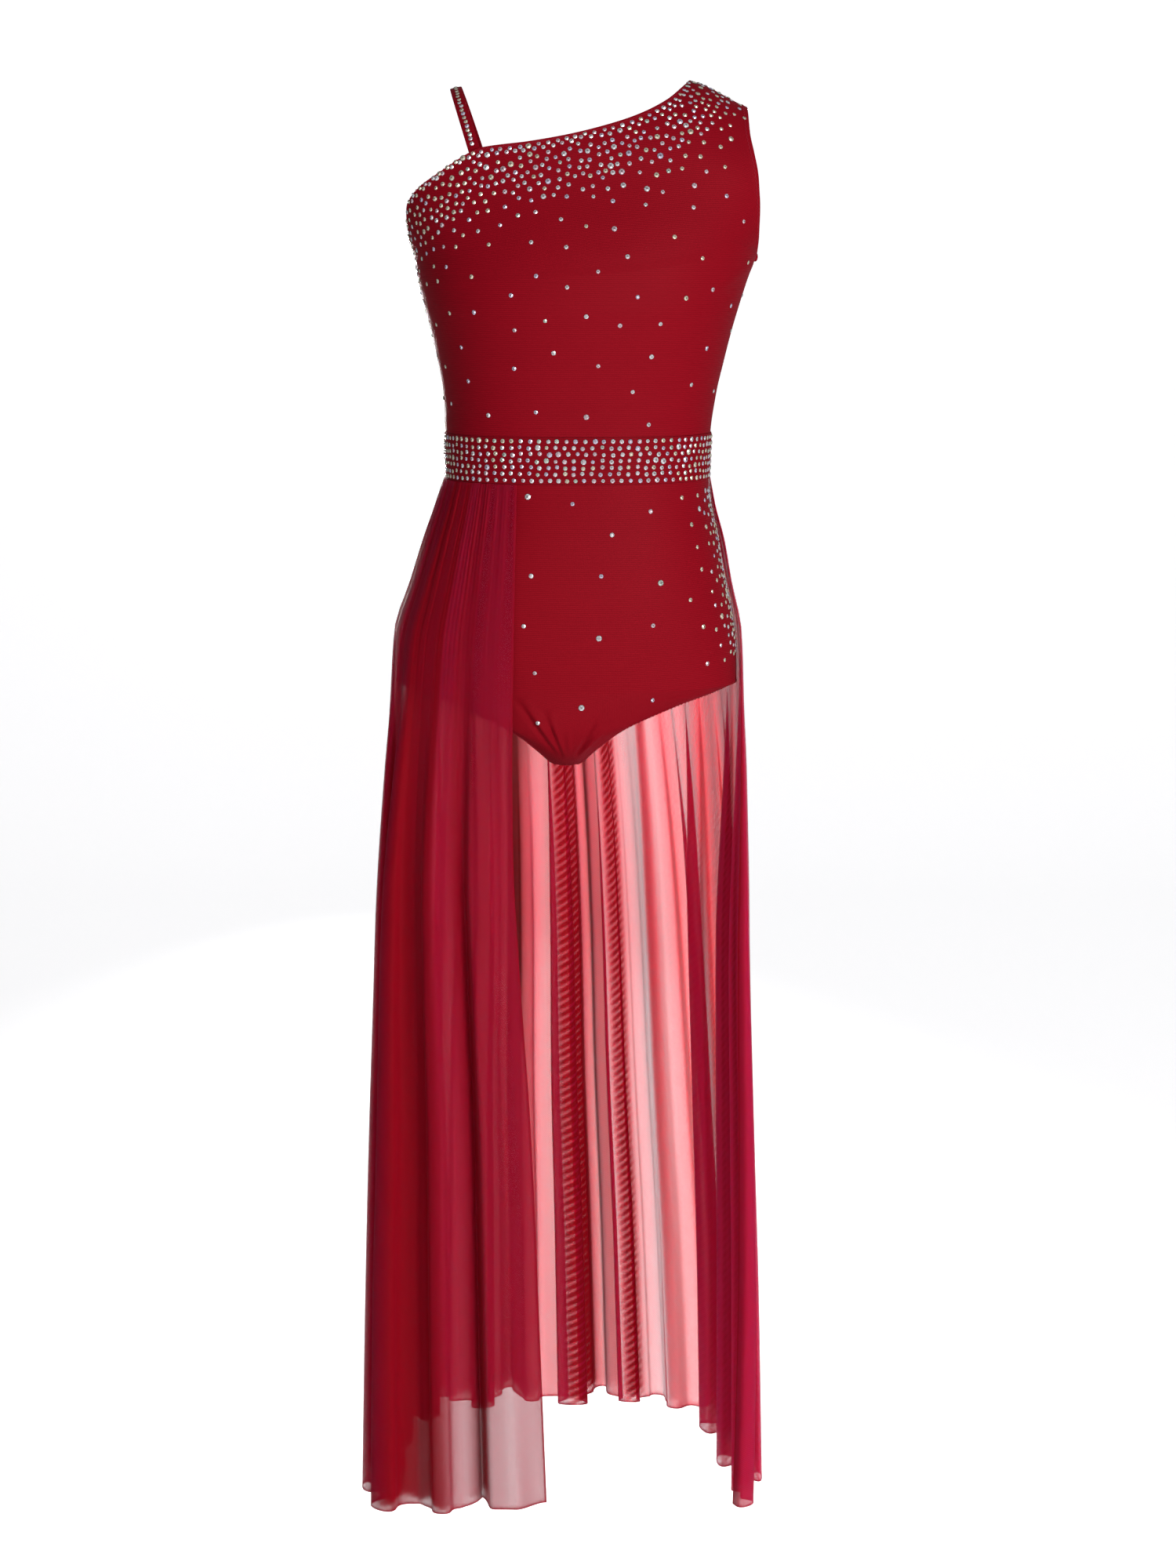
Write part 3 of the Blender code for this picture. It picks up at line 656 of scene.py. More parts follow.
def briefGrid(side):
    t = np.linspace(-1, 1, briefCut["columnCount"])
    angle = math.pi / 2 * (t + briefCut["sideCrowding"] * np.sin(math.pi * t) / math.pi)
    share = shareAt(angle)
    levels = np.linspace(briefCut["top"] - seamGap / 2, briefCut["hip"], briefCut["hipRows"])[:-1]
    rows = [onFigure(share, np.full(len(share), z), side) for z in levels]
    flap = frontFlap if side < 0 else backFlap
    for row in np.linspace(0, len(flap["rows"]) - 1, briefCut["flapRows"]):
        edgeX, edgeY, edgeZ, midY, midZ = (along(flap, "row", key, row) for key in flap["columns"][1:])
        flatter = min(1.0, row / briefCut["flatRow"])
        s = share + (angle / (math.pi / 2) - share) * flatter
        bow = (1 - flatter) * (1 - bulge(s)) + flatter * np.abs(s) ** briefCut["bow"]
        x = torso("centre", briefCut["hip"]) + edgeX * s
        y = midY + (edgeY - midY) * bow + side * seamGap / 2
        rows.append(np.stack([x, y, midZ + (edgeZ - midZ) * s**2], axis=-1))
    return np.array(rows), angle


def buildBrief(name, side, creases):
    grid, angle = briefGrid(side)
    hipRow = briefCut["hipRows"] - 1
    normals = normalsOf(grid, np.array([0, side, 0]))
    keepInPlane(normals, firstRow, *sideSeams)
    # below the hip the way outwards follows the midline, which turns under
    under = unit(np.gradient(grid[:, grid.shape[1] // 2], axis=0))
    for i in range(hipRow, len(grid)):
        down = (i - hipRow) / (len(grid) - 1 - hipRow)
        a = angle[:, None] * (1 - briefCut["turnUnder"] * min(1, briefCut["turnSpeed"] * down))
        forward = np.array([0, side * abs(under[i, 2]), -abs(under[i, 1])])
        normals[i] = np.cos(a) * forward + np.sin(a) * np.array([1, 0, 0])
    normals[-1] = (0, 0, -1)
    legGap = np.minimum(lengthFrom(grid, 1), lengthFrom(grid, 1, True))
    above = lengthFrom(grid, 0)[:, 0]
    legGap = legGap + farAway * ramp(above[hipRow] - above, *briefCut["seamBlend"])[:, None]
    lifted = normals * ramp(np.arange(len(grid))[::-1], *briefCut["edgeRows"])[:, None, None]
    return sewKnit(name, grid, normals, creases, lifted, lifted, legGap, hipRow=hipRow)


briefFront = buildBrief("brief_front_cloth", -1, briefCreases["front"])
briefBack = buildBrief("brief_back_cloth", 1, briefCreases["back"])
print("brief sewn")

strap = {
    "width": 10.5,
    "lowX": -92.0,
    "topX": -113.0,
    "tuck": 11.0,
    "steepest": 0.99,
    "seat": 2.4,
    "wall": 1.3,
    "steps": 110,
    "columnCount": 13,
    "crown": 0.35,
    "crownPower": 4,
}


def buildStrap(name):
    lowX, topX, reach = strap["lowX"], strap["topX"], figure["shoulderRound"]
    neckZ = along(bodiceCut["neckline"], "x", "z", lowX)
    frontDrop = along(shoulderLine, "x", "z", topX) - neckZ + strap["tuck"]
    drops = (frontDrop, frontDrop + backNeckDrop(lowX))
    frontTurn, backTurn = (math.acos(1 - min(drop / reach, strap["steepest"])) for drop in drops)
    across = np.linspace(-0.5, 0.5, strap["columnCount"])
    face = []
    for turn in np.linspace(-frontTurn, backTurn, strap["steps"]):
        fall = 1 - math.cos(turn)
        down = fall / (1 - math.cos(frontTurn if turn < 0 else backTurn))
        x = topX + (lowX - topX) * down + across * strap["width"]
        z = along(shoulderLine, "x", "z", x) - reach * fall
        share = (x - torso("centre", z)) / torso("half", z)
        y = torso("front" if turn < 0 else "back", z) * bulge(share) * math.sin(turn)
        face.append(np.stack([x, y, z], axis=-1))
    face = np.array(face)
    normals = unit(np.cross(np.gradient(face, axis=1), np.gradient(face, axis=0)))
    normals *= np.sign(normals[strap["steps"] // 2, strap["columnCount"] // 2, 2])
    seat = face - normals * strap["seat"]
    crown = strap["crown"] * (1 - (2 * across) ** strap["crownPower"])
    outer = seat + normals * crown[None, :, None]
    piece = sewCloth(name, outer, seat - normals * strap["wall"], "stretch_knit")
    return {"piece": piece, "grid": outer, "normals": normals}


strapCloth = buildStrap("shoulder_strap_cloth")
print("strap sewn")

# Skirt: its line section by section. square is the squareness of the front
# corners, edgeX the front free edge, and endTurn how far the other edge comes round.
skirt = {
    "columns": ("z", "centre", "half", "front", "back", "square", "edgeX", "endTurn"),
    "rows": (
        (-1356, -14.0, 182.0, 108.0, 186.0, 4.6, -30.5, 44),
        (-1174, -14.0, 179.0, 107.0, 180.0, 4.2, -37.0, 40),
        (-997, -14.5, 175.0, 106.0, 172.0, 3.7, -43.5, 35),
        (-816, -14.5, 170.5, 105.0, 162.0, 3.2, -54.5, 29),
        (-721, -13.5, 169.5, 105.0, 156.0, 3.0, -59.0, 24),
        (-640, -12.0, 168.5, 104.5, 149.0, 2.8, -59.5, 19),
        (-560, -10.5, 167.0, 103.5, 140.0, 2.6, -58.5, 14),
        (-511, -9.5, 164.3, 102.8, 136.0, 2.5, -57.5, 10),
        (-465, -6.5, 152.0, 103.0, 127.0, 2.4, -56.4, 6),
        (-425, -3.5, 142.0, 102.5, 114.5, 2.3, -55.5, 3),
        (-394, -2.0, 132.5, 99.0, 101.0, 2.3, -54.6, 1),
        (-366, 0.0, 125.4, 93.6, 89.6, 2.3, -54.0, 0),
    ),
    "top": -366.15,
    "hem": -1356.0,
    "backSquare": 0.42,
    "seamAt": 0.255,
    "gathers": 54,
    "columnsPerGather": 16,
    "rowCount": 46,
    "wall": 0.7,
    "topCrowding": 0.14,
    "hemRows": (18, 13, 9, 5.5, 2.5, 0),
    "turnedMost": 0.3,
}
# Main folds at the hem: place as a share of the way round, width, how far it stands
# out or in, how far it laps over its neighbours, and its lean to one side
skirtFolds = {
    "columns": ("place", "width", "depth", "lap", "lean"),
    "rows": (
        (0.000, 60, -18, 0, 0), (0.062, 40, -28, 4, 0.7), (0.103, 36, 14, 2, 0),
        (0.130, 26, -6, 0, 0), (0.155, 40, 26, 6, 0), (0.178, 30, -14, 3, 0), (0.198, 36, 18, 5, 0),
        (0.232, 44, -24, 8, 0), (0.273, 44, 16, 7, 0), (0.315, 44, -24, 8, 0),
        (0.358, 44, 18, 7, 0), (0.400, 44, -24, 8, 0), (0.440, 40, 18, 6, 0),
        (0.480, 44, -28, 7, 0), (0.512, 34, 28, 4, 0.4), (0.538, 32, -14, 2, 0),
        (0.583, 40, -26, 10, 0), (0.612, 34, 30, 4, 0.3), (0.646, 38, -14, 6, 0),
        (0.674, 30, 12, 2, 0), (0.702, 42, -20, 2, 0), (0.740, 36, 24, 5, 0),
        (0.790, 50, -34, 9, 0), (0.838, 40, 14, 7, 0), (0.886, 46, -28, 9, 0),
        (0.928, 36, 14, 6, 0), (0.960, 32, -14, 3, 0), (0.990, 30, 20, 4, 0),
    ),
    "leanShift": 0.35,
    "leanLap": 1.6,
}
# Depth of the folds, and of the gathers under the waistband, on the way down
skirtRise = {
    "columns": ("z", "fold", "gather"),
    "rows": (
        (-1356, 1.00, 0.0), (-1174, 0.96, 0.0), (-997, 0.90, 0.0), (-816, 0.80, 0.1),
        (-640, 0.40, 0.3), (-560, 0.13, 0.4), (-465, 0.06, 1.0), (-416, 0.03, 1.7),
        (-386, 0.00, 1.6), (-366, 0.00, 0.5),
    ),
}
smallFlutes = {"count": 18, "place": (0.1, 0.9), "width": (40, 90), "depth": (0.4, 1.2), "lap": 0.3}
waistGathers = {
    "softest": 0.1,
    "strongest": 0.85,
    "reach": (0.6, 1.3),
    "fine": 3,
    "fineDepth": 0.22,
    "fineSpread": (0.2, 1.6),
    "calmEdge": 0.08,
    "edgeShare": 0.3,
}
skirtStreaks = {
    "turns": (7, 52),
    "count": 13,
    "drift": 0.9,
    "strength": 0.065,
    "spread": (0.3, 1.0),
    "limits": (0.5, 1.6),
}
skirtHem = {
    "open": 9.0,
    "scallop": 4.0,
    "count": 37,
    "blend": (0.6, 1.4),
    "edgeLayers": 1.6,
    "edgeWidth": (0.5, 3.0),
    "sideShare": 1.2,
}
# How many nets deep the cloth hangs at each share, how much painted backlight pales
# the net's colour there, and where two nets lie close enough to show bars
skirtFullness = {
    "columns": ("share", "layers", "glow", "hatch"),
    "rows": (
        (0.000, 0.95, 0.18, 0.0), (0.052, 0.95, 0.18, 0.0), (0.060, 1.8, 0.12, 0.0),
        (0.076, 1.7, 0.12, 0.0), (0.084, 1.0, 0.22, 0.0), (0.095, 1.1, 0.22, 0.0),
        (0.104, 3.0, 0.12, 0.0), (0.150, 3.0, 0.12, 0.0), (0.158, 1.2, 0.18, 0.1),
        (0.170, 1.2, 0.18, 0.1), (0.178, 2.4, 0.2, 0.0), (0.190, 1.2, 0.25, 0.1),
        (0.210, 1.1, 0.25, 0.1), (0.220, 1.8, 0.25, 0.0), (0.255, 1.2, 0.3, 0.0),
        (0.290, 1.0, 0.3, 0.0), (0.310, 1.6, 0.25, 0.0), (0.350, 1.0, 0.25, 0.0),
        (0.370, 1.1, 0.25, 0.0), (0.385, 2.2, 0.2, 0.0), (0.530, 2.3, 0.3, 0.0),
        (0.550, 1.0, 0.55, 0.0), (0.579, 1.0, 0.55, 0.0), (0.584, 3.0, 0.35, 0.35),
        (0.605, 3.0, 0.35, 0.35), (0.610, 1.3, 0.65, 0.0), (0.620, 1.4, 0.6, 0.0),
        (0.643, 0.95, 0.6, 0.0), (0.648, 2.8, 0.35, 0.35), (0.660, 2.6, 0.35, 0.35),
        (0.665, 0.8, 0.55, 0.0), (0.682, 0.6, 0.55, 0.0), (0.696, 0.6, 0.55, 0.0),
        (0.702, 1.6, 0.6, 0.0), (0.712, 0.65, 0.6, 0.0), (0.730, 0.8, 0.8, 0.1),
        (0.745, 0.8, 0.9, 0.1), (0.775, 0.9, 0.9, 0.1), (0.800, 1.2, 0.8, 0.1),
        (0.880, 1.3, 0.8, 0.1), (0.960, 1.2, 0.8, 0.1), (1.000, 1.2, 0.4, 0.0),
    ),
}


def skirtLine(z, count=1441):
    # the skirt's smooth line at one height, from free edge to free edge
    form = {key: along(skirt, "z", key, z) for key in skirt["columns"][1:]}
    start = math.asin((form["edgeX"] - form["centre"]) / form["half"])
    turn = np.linspace(start, -math.radians(270 + form["endTurn"]), count)
    s, c = np.sin(turn), np.cos(turn)
    roundness = figure["roundness"]
    backSquare = roundness + (form["square"] - roundness) * skirt["backSquare"]
    square = np.where(c > 0, form["square"], backSquare)
    norm = (np.abs(s) ** square + np.abs(c) ** square) ** (1 / square)
    x = form["centre"] + form["half"] * s / norm
    y = np.where(c > 0, -form["front"], -form["back"]) * c / norm
    return np.stack([x, y], axis=-1)


def evenPoints(line, shares):
    # points at shares of a line's length, with the way along it and outwards
    length = np.concatenate([[0], np.cumsum(np.linalg.norm(np.diff(line, axis=0), axis=1))])
    at = np.asarray(shares) * length[-1]
    here, ahead, behind = (
        np.stack([np.interp(at + step, length, line[:, k]) for k in range(2)], axis=-1)
        for step in (0, 1, -1)
    )
    way = unit(ahead - behind)
    return here, way, np.stack([-way[:, 1], way[:, 0]], axis=-1), length[-1]


def foldShift(shares, length, folds):
    # how far folds move each point outwards, and along the line
    out, slide = np.zeros(len(shares)), np.zeros(len(shares))
    for place, width, depth, lap, lean in folds:
        t = (shares - place) * length / (width / 2)
        crest = np.clip(t - lean * skirtFolds["leanShift"], -1, 1)
        t = np.clip(t, -1, 1)
        out += depth * np.cos(math.pi * crest / 2) ** 2
        even, leaning = np.sin(math.tau * t), skirtFolds["leanLap"] * np.sin(math.pi * t)
        slide += lap * ((1 - abs(lean)) * even - lean * leaning)
    return out, slide


def makeFlutes():
    # small uneven flutes between the main folds
    count = smallFlutes["count"]
    places = np.arange(count) + dice.uniform(*smallFlutes["place"], count)
    rows = []
    for i, place in enumerate(places / count):
        depth = dice.uniform(*smallFlutes["depth"]) * (-1) ** i
        rows.append((place, dice.uniform(*smallFlutes["width"]), depth, smallFlutes["lap"], 0))
    return rows


def makeStreaks(shares, levels):
    # long soft streaks, where the cloth hangs a little fuller
    streak = np.ones((len(levels), len(shares)))
    for turns in np.linspace(*skirtStreaks["turns"], skirtStreaks["count"]):
        drift = dice.uniform(-1, 1) * skirtStreaks["drift"] * levels[:, None] * mm
        wave = np.sin(math.tau * (turns * shares[None] + drift) + dice.uniform(0, math.tau))
        streak += skirtStreaks["strength"] * dice.uniform(*skirtStreaks["spread"]) * wave
    return streak.clip(*skirtStreaks["limits"])


def skirtGrid(shares, levels):
    hemLength = evenPoints(skirtLine(skirt["hem"]), [0, 1])[3]
    out, slide = foldShift(shares, hemLength, list(skirtFolds["rows"]) + makeFlutes())
    gathers, fine = skirt["gathers"], waistGathers["fine"] * skirt["gathers"]
    uneven = dice.uniform(waistGathers["softest"], waistGathers["strongest"], gathers + 1)
    reach = dice.uniform(*waistGathers["reach"], gathers + 1)
    fineDepth = waistGathers["fineDepth"] * dice.uniform(*waistGathers["fineSpread"], fine + 1)
    gatherNumber, fineNumber = (shares * gathers).astype(int), (shares * fine).astype(int)
    wave = np.sin(math.tau * gathers * shares) * uneven[gatherNumber]
    wave = wave + np.sin(math.tau * fine * shares) * fineDepth[fineNumber]
    calm = waistGathers["edgeShare"]
    wave = wave * (calm + (1 - calm) * ramp(shares, 0, waistGathers["calmEdge"]))
    grid, outwards = [], []
    for z in levels:
        points, way, outward, length = evenPoints(skirtLine(z), shares)
        scale = along(skirtRise, "z", "fold", z) * length / hemLength
        gatherZ = skirt["top"] + (z - skirt["top"]) / reach[gatherNumber]
        gather = along(skirtRise, "z", "gather", gatherZ)
        points = points + outward * (out * scale + gather * wave)[:, None]
        points = points + way * (slide * scale)[:, None]
        grid.append(np.concatenate([points, np.full((len(shares), 1), z)], axis=1))
        outwards.append(outward)
    return np.array(grid), np.array(outwards), hemLength


def buildSkirt():
    count = skirt["gathers"] * skirt["columnsPerGather"] + 1
    shares = np.linspace(0, 1, count)
    t, crowding = np.linspace(0, 1, skirt["rowCount"]), skirt["topCrowding"]
    levels = skirt["top"] + (skirt["hem"] - skirt["top"]) * (crowding * t + (1 - crowding) * t * t)
    levels = np.concatenate([levels[:-1], skirt["hem"] + np.array(skirt["hemRows"])])
    grid, outwards, hemLength = skirtGrid(shares, levels)
    normals = normalsOf(grid, grid * np.array([1, 1, 0]))
    keepInPlane(normals, firstRow, lastRow)
    # cloth that turns away from the skirt's line covers more of what is behind it
    facing = np.abs((normals[..., :2] * outwards).sum(axis=-1))
    # the pleats of the hem open, so its lowest part is one net again, in scallops
    hemGap = (levels - skirt["hem"])[:, None]
    scallop = skirtHem["open"] + skirtHem["scallop"] * np.sin(math.tau * skirtHem["count"] * shares)
    opened = ramp(hemGap, *(share * scallop[None] for share in skirtHem["blend"]))
    layers = along(skirtFullness, "share", "layers", shares)[None]
    layers = np.minimum(layers, 1 + (layers - 1) * opened)
    cover = layers / np.sqrt(np.maximum(facing, skirt["turnedMost"])) * makeStreaks(shares, levels)
    # glow: painted backlight for the net's colour, share by share
    hatched, glow = (along(skirtFullness, "share", key, shares) for key in ("hatch", "glow"))
    hatched, glow = (np.broadcast_to(mark, cover.shape) for mark in (hatched, glow))
    endGap = np.minimum(lengthFrom(grid, 1), lengthFrom(grid, 1, True))
    edge = np.minimum(hemGap, endGap * skirtHem["sideShare"])
    cover = cover + skirtHem["edgeLayers"] * (1 - ramp(edge, *skirtHem["edgeWidth"]))
    flat = np.stack(np.broadcast_arrays(shares[None] * hemLength, skirt["top"] - levels[:, None]), axis=-1)
    seam = round(skirt["seamAt"] * (count - 1))
    alongSeam = unit(np.gradient(grid, axis=1)[:, seam]) * seamGap / 2
    pieces = []
    for name, part, rim, way in (
        ("skirt_front_cloth", np.s_[:, : seam + 1], -1, -1),
        ("skirt_back_cloth", np.s_[:, seam:], 0, 1),
    ):
        middle, half = grid[part].copy(), normals[part] * skirt["wall"] / 2
        middle[:, rim] += way * alongSeam
        marks = {"cover": cover[part], "hatched": hatched[part], "glow": glow[part]}
        pieces.append(sewCloth(name, middle + half, middle - half, "sheer_mesh", flat[part], marks))
    return pieces


skirtFront, skirtBack = buildSkirt()
print("skirt hung")

# Stones: flat-backed, with a crown of facets, on the cloth by rows and by scatter
stoneCut = {
    "sides": 8,
    "table": 0.4,
    "girdle": 0.15,
    "height": 0.52,
    "setting": 1.16,
    "sink": 0.1,
    # painted light of the faces: bright crown facets as painted reflections, every other one dimmer, the
    # table and the setting in painted shade
    "paintedShine": {"table": 0.3, "setting": 0.06, "facets": (1.0, 0.72)},
}
stoneTints = {
    "clear": (0.95, 0.95, 0.97),
    "gold": (0.92, 0.86, 0.66),
    "rose": (0.93, 0.76, 0.82),
    "lilac": (0.80, 0.76, 0.93),
    "green": (0.74, 0.88, 0.76),
}
# How often each tint comes, with more gold from one x to another on the left and right
tintShares = {
    "gold": 0.12,
    "goldLeft": (0.4, 40, 120),
    "goldRight": (0.3, 60, 120),
    "cool": 0.5,
    "rose": 0.24,
    "green": 0.94,
    "brightness": (0.82, 1.05),
}
stoneSizes = {"usual": 1.95, "large": 2.5, "largeShare": 0.1, "spread": (0.94, 1.06)}
noStones = 1e4


def makeStone():
    sides, paintedShines = stoneCut["sides"], stoneCut["paintedShine"]
    turn = np.arange(sides) * math.tau / sides
    rings = ((stoneCut["setting"], 0.0), (1.0, stoneCut["girdle"]), (stoneCut["table"], stoneCut["height"]))
    points = [(r * math.cos(a), r * math.sin(a), z) for r, z in rings for a in turn]
    faces = [tuple(range(sides))[::-1], tuple(range(2 * sides, 3 * sides))]
    # each face carries its painted light, which the stone material reads
    paintedShine = [0.0, paintedShines["table"]]
    for ring in range(2):
        for i in range(sides):
            a, b = ring * sides + i, ring * sides + (i + 1) % sides
            faces.append((a, b, b + sides, a + sides))
            paintedShine.append(paintedShines["facets"][i % 2] if ring else paintedShines["setting"])
    stone = newPiece("stone", points, faces)
    markMesh(stone.data, "facet", paintedShine, domain="FACE")
    return stone


def standOnCloth(tree):
    facing = addNode(tree, "GeometryNodeInputNamedAttribute", {"Name": "facing"}, data_type="FLOAT_VECTOR")
    return addNode(tree, "FunctionNodeAlignRotationToVector", {"Vector": facing[0]}, axis="Z")[0]


def placeShapes(tree, out, material, shape, points, stand, turn, **size):
    # the shape on every point, turned on the cloth, as a real mesh with its material
    twist = addNode(tree, "FunctionNodeAxisAngleToRotation", {"Axis": (0, 0, 1), "Angle": turn})
    both = {"Rotation": stand, "Rotate By": twist[0]}
    turned = addNode(tree, "FunctionNodeRotateRotation", both, rotation_space="LOCAL")
    values = {"Points": points, "Instance": shape, "Rotation": turned[0], **size}
    placed = addNode(tree, "GeometryNodeInstanceOnPoints", values)
    real = addNode(tree, "GeometryNodeRealizeInstances", {0: placed[0]})
    values = {"Geometry": real[0], "Material": material}
    tree.links.new(addNode(tree, "GeometryNodeSetMaterial", values)[0], out["Geometry"])


def makeStoneTree():
    # one stone on every point, standing on the cloth and turned at random
    inputs = {
        "Geometry": "Geometry",
        "Stone": "Object",
        "Stone Material": "Material",
        "Size Spread": 0.08,
        "Seed": 3,
    }
    tree, given, out = newGroup("GeometryNodeTree", "setStones", inputs, {"Geometry": "Geometry"})

    def draw(low, high):
        values = {2: low, 3: high, "Seed": given["Seed"]}
        return addNode(tree, "FunctionNodeRandomValue", values, data_type="FLOAT")[1]

    radius = addNode(tree, "GeometryNodeInputNamedAttribute", {"Name": "radius"}, data_type="FLOAT")
    spread = draw(*(maths(tree, way, 1.0, given["Size Spread"]) for way in ("SUBTRACT", "ADD")))
    size = maths(tree, "MULTIPLY", radius[0], spread)
    stone = addNode(tree, "GeometryNodeObjectInfo", {"Object": given["Stone"]})["Geometry"]
    stand, turn = standOnCloth(tree), draw(0.0, math.tau)
    placeShapes(tree, out, given["Stone Material"], stone, given["Geometry"], stand, turn, Scale=size)
    return tree


def runTree(piece, tree, values):
    # gives the tree its inputs, and turns its result into a plain mesh
    modifier = piece.modifiers.new(tree.name, "NODES")
    modifier.node_group = tree
    sockets = {item.name: item.identifier for item in tree.interface.items_tree if item.in_out == "INPUT"}
    for key, value in values.items():
        modifier[sockets[key]] = value
    graph = bpy.context.evaluated_depsgraph_get()
    made = bpy.data.meshes.new_from_object(piece.evaluated_get(graph))
    piece.modifiers.clear()
    piece.data = made
    made.name = piece.name


stoneShape, stoneTree = makeStone(), makeStoneTree()


def onPanel(panel, row, column):
    # points of a cloth at places of its grid, with the way out of it
    return atGrid(panel["grid"], row, column), unit(atGrid(panel["normals"], row, column))


def pickTints(places):
    # gold towards the strap's side and the shoulder, rose and lilac between them
    x = places[:, 0]
    (more, *left), (most, *right) = tintShares["goldLeft"], tintShares["goldRight"]
    warm = tintShares["gold"] + more * ramp(-x, *left) + most * ramp(x, *right)
    draw = dice.uniform(0, 1, (len(x), 2))
    names = np.where(draw[:, 0] < warm, "gold", "clear")
    cool = (names == "clear") & (draw[:, 1] < tintShares["cool"])
    names[cool] = np.where(draw[cool, 1] < tintShares["rose"], "rose", "lilac")
    names[(names == "clear") & (draw[:, 1] > tintShares["green"])] = "green"
    base = np.array([stoneTints[name] for name in names])
    return base * dice.uniform(*tintShares["brightness"], (len(x), 1)).clip(0, 1)


def pickRadii(count, largeShare=stoneSizes["largeShare"]):
    radii = np.where(dice.uniform(0, 1, count) < largeShare, stoneSizes["large"], stoneSizes["usual"])
    return radii * dice.uniform(*stoneSizes["spread"], count)


def setStones(name, panel, places, radii, seed):
    at, facings = onPanel(panel, *places.T)
    piece = newPiece(name, (at - facings * stoneCut["sink"]) * mm)
    markMesh(piece.data, "facing", facings, "FLOAT_VECTOR")
    markMesh(piece.data, "radius", radii * mm)
    markMesh(piece.data, "tint", np.column_stack([pickTints(at), np.ones(len(at))]), "FLOAT_COLOR")
    runTree(piece, stoneTree, {"Stone": stoneShape, "Stone Material": crystal, "Seed": seed})
    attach(piece, "root")
    print(name, len(at), "stones")


def scatterOver(panel, spacingAt, tries, kept=()):
    # throws stones at the cloth, and keeps those that have room: returns grid places
    grid = panel["grid"]
    rows, columns = grid.shape[:2]
    r, c = np.mgrid[0.5 : rows - 1, 0.5 : columns - 1]
    middle = atGrid(grid, r, c)
    down, across = np.diff(grid, axis=0)[:, :-1], np.diff(grid, axis=1)[:-1]
    area = np.linalg.norm(np.cross(down, across), axis=-1)
    spacing = spacingAt(middle.reshape(-1, 3), r.ravel(), c.ravel())
    weight = area.ravel() / spacing**2
    cell = dice.choice(len(weight), tries, p=weight / weight.sum())
    row = cell // (columns - 1) + dice.uniform(0, 1, tries)
    column = cell % (columns - 1) + dice.uniform(0, 1, tries)
    points, room = atGrid(grid, row, column), spacing[cell]
    chosen = list(kept)
    taken = np.empty((tries + len(chosen), 3))
    if chosen:
        taken[: len(chosen)] = atGrid(grid, *np.array(chosen).T)
    for i in np.flatnonzero(room < noStones):
        gaps = ((taken[: len(chosen)] - points[i]) ** 2).sum(axis=1)
        if gaps.min(initial=np.inf) > room[i] ** 2:
            taken[len(chosen)] = points[i]
            chosen.append((row[i], column[i]))
    return np.array(chosen)


neckRowRule = {"start": 0.8, "end": 2, "slide": 0.9, "sway": 0.7, "steepest": 1.2}


def neckRows(panel, drops, spacing):
    # rows that follow the neckline, each a little further down the cloth
    grid, last = panel["grid"], panel["neckColumn"]
    top = grid[-1, : last + 1]
    columns, rowNumber = np.arange(last + 1), np.arange(len(grid))
    length = np.concatenate([[0], np.cumsum(np.linalg.norm(np.diff(top, axis=0), axis=1))])
    slope = np.gradient(top[:, 2]) / np.maximum(np.abs(np.gradient(top[:, 0])), 1e-6)
    below = lengthFrom(grid, 0, True)
    slide, sway = neckRowRule["slide"], neckRowRule["sway"]
    found = []
    for k, drop in enumerate(drops):
        start = drop * neckRowRule["start"] + spacing * (k % 2) / 2
        at = np.arange(start, length[-1] - neckRowRule["end"], spacing)
        at = at + dice.uniform(-slide, slide, len(at))
        for column in np.interp(at, length, columns):
            steep = min(abs(np.interp(column, columns, slope)), neckRowRule["steepest"])
            walk = (drop + dice.uniform(-sway, sway)) * math.hypot(1, steep)
            reach = atGrid(below, rowNumber, np.full(len(rowNumber), column))
            found.append((np.interp(-walk, -reach, rowNumber), column))
    return found


def distanceTo(line, points):
    near = np.full(len(points), np.inf)
    for a, b in zip(line[:-1], line[1:]):
        way = b - a
        t = np.clip(((points - a) @ way) / (way @ way), 0, 1)
        near = np.minimum(near, np.linalg.norm(points - a - t[:, None] * way, axis=1))
    return near


# Stones lie close down to the dense depth, and then wider apart step by step
bodiceStones = {
    "rowDrops": (8.5, 15.0),
    "rowSpacing": 8.6,
    "denseDepth": {"front": 42.0, "back": 10.0},
    "steps": (0, 18, 38, 68),
    "spacings": (6.3, 11, 17, 28),
    "farDepth": 400,
    "sparse": 37.0,
    "sideSteps": (0, 18, 34, 60),
    "sideSpacings": (4.5, 5.4, 9, 60),
    "sideLevels": (-106.0, -245.0),
    "sideFade": {"from": 40, "wider": 1.6, "above": 60, "below": 30},
    "armholeClear": {"width": 17.0, "top": -40},
    "edgeClear": {"neck": 5.5, "side": 1.5, "waist": 8},
    "tries": 9000,
}


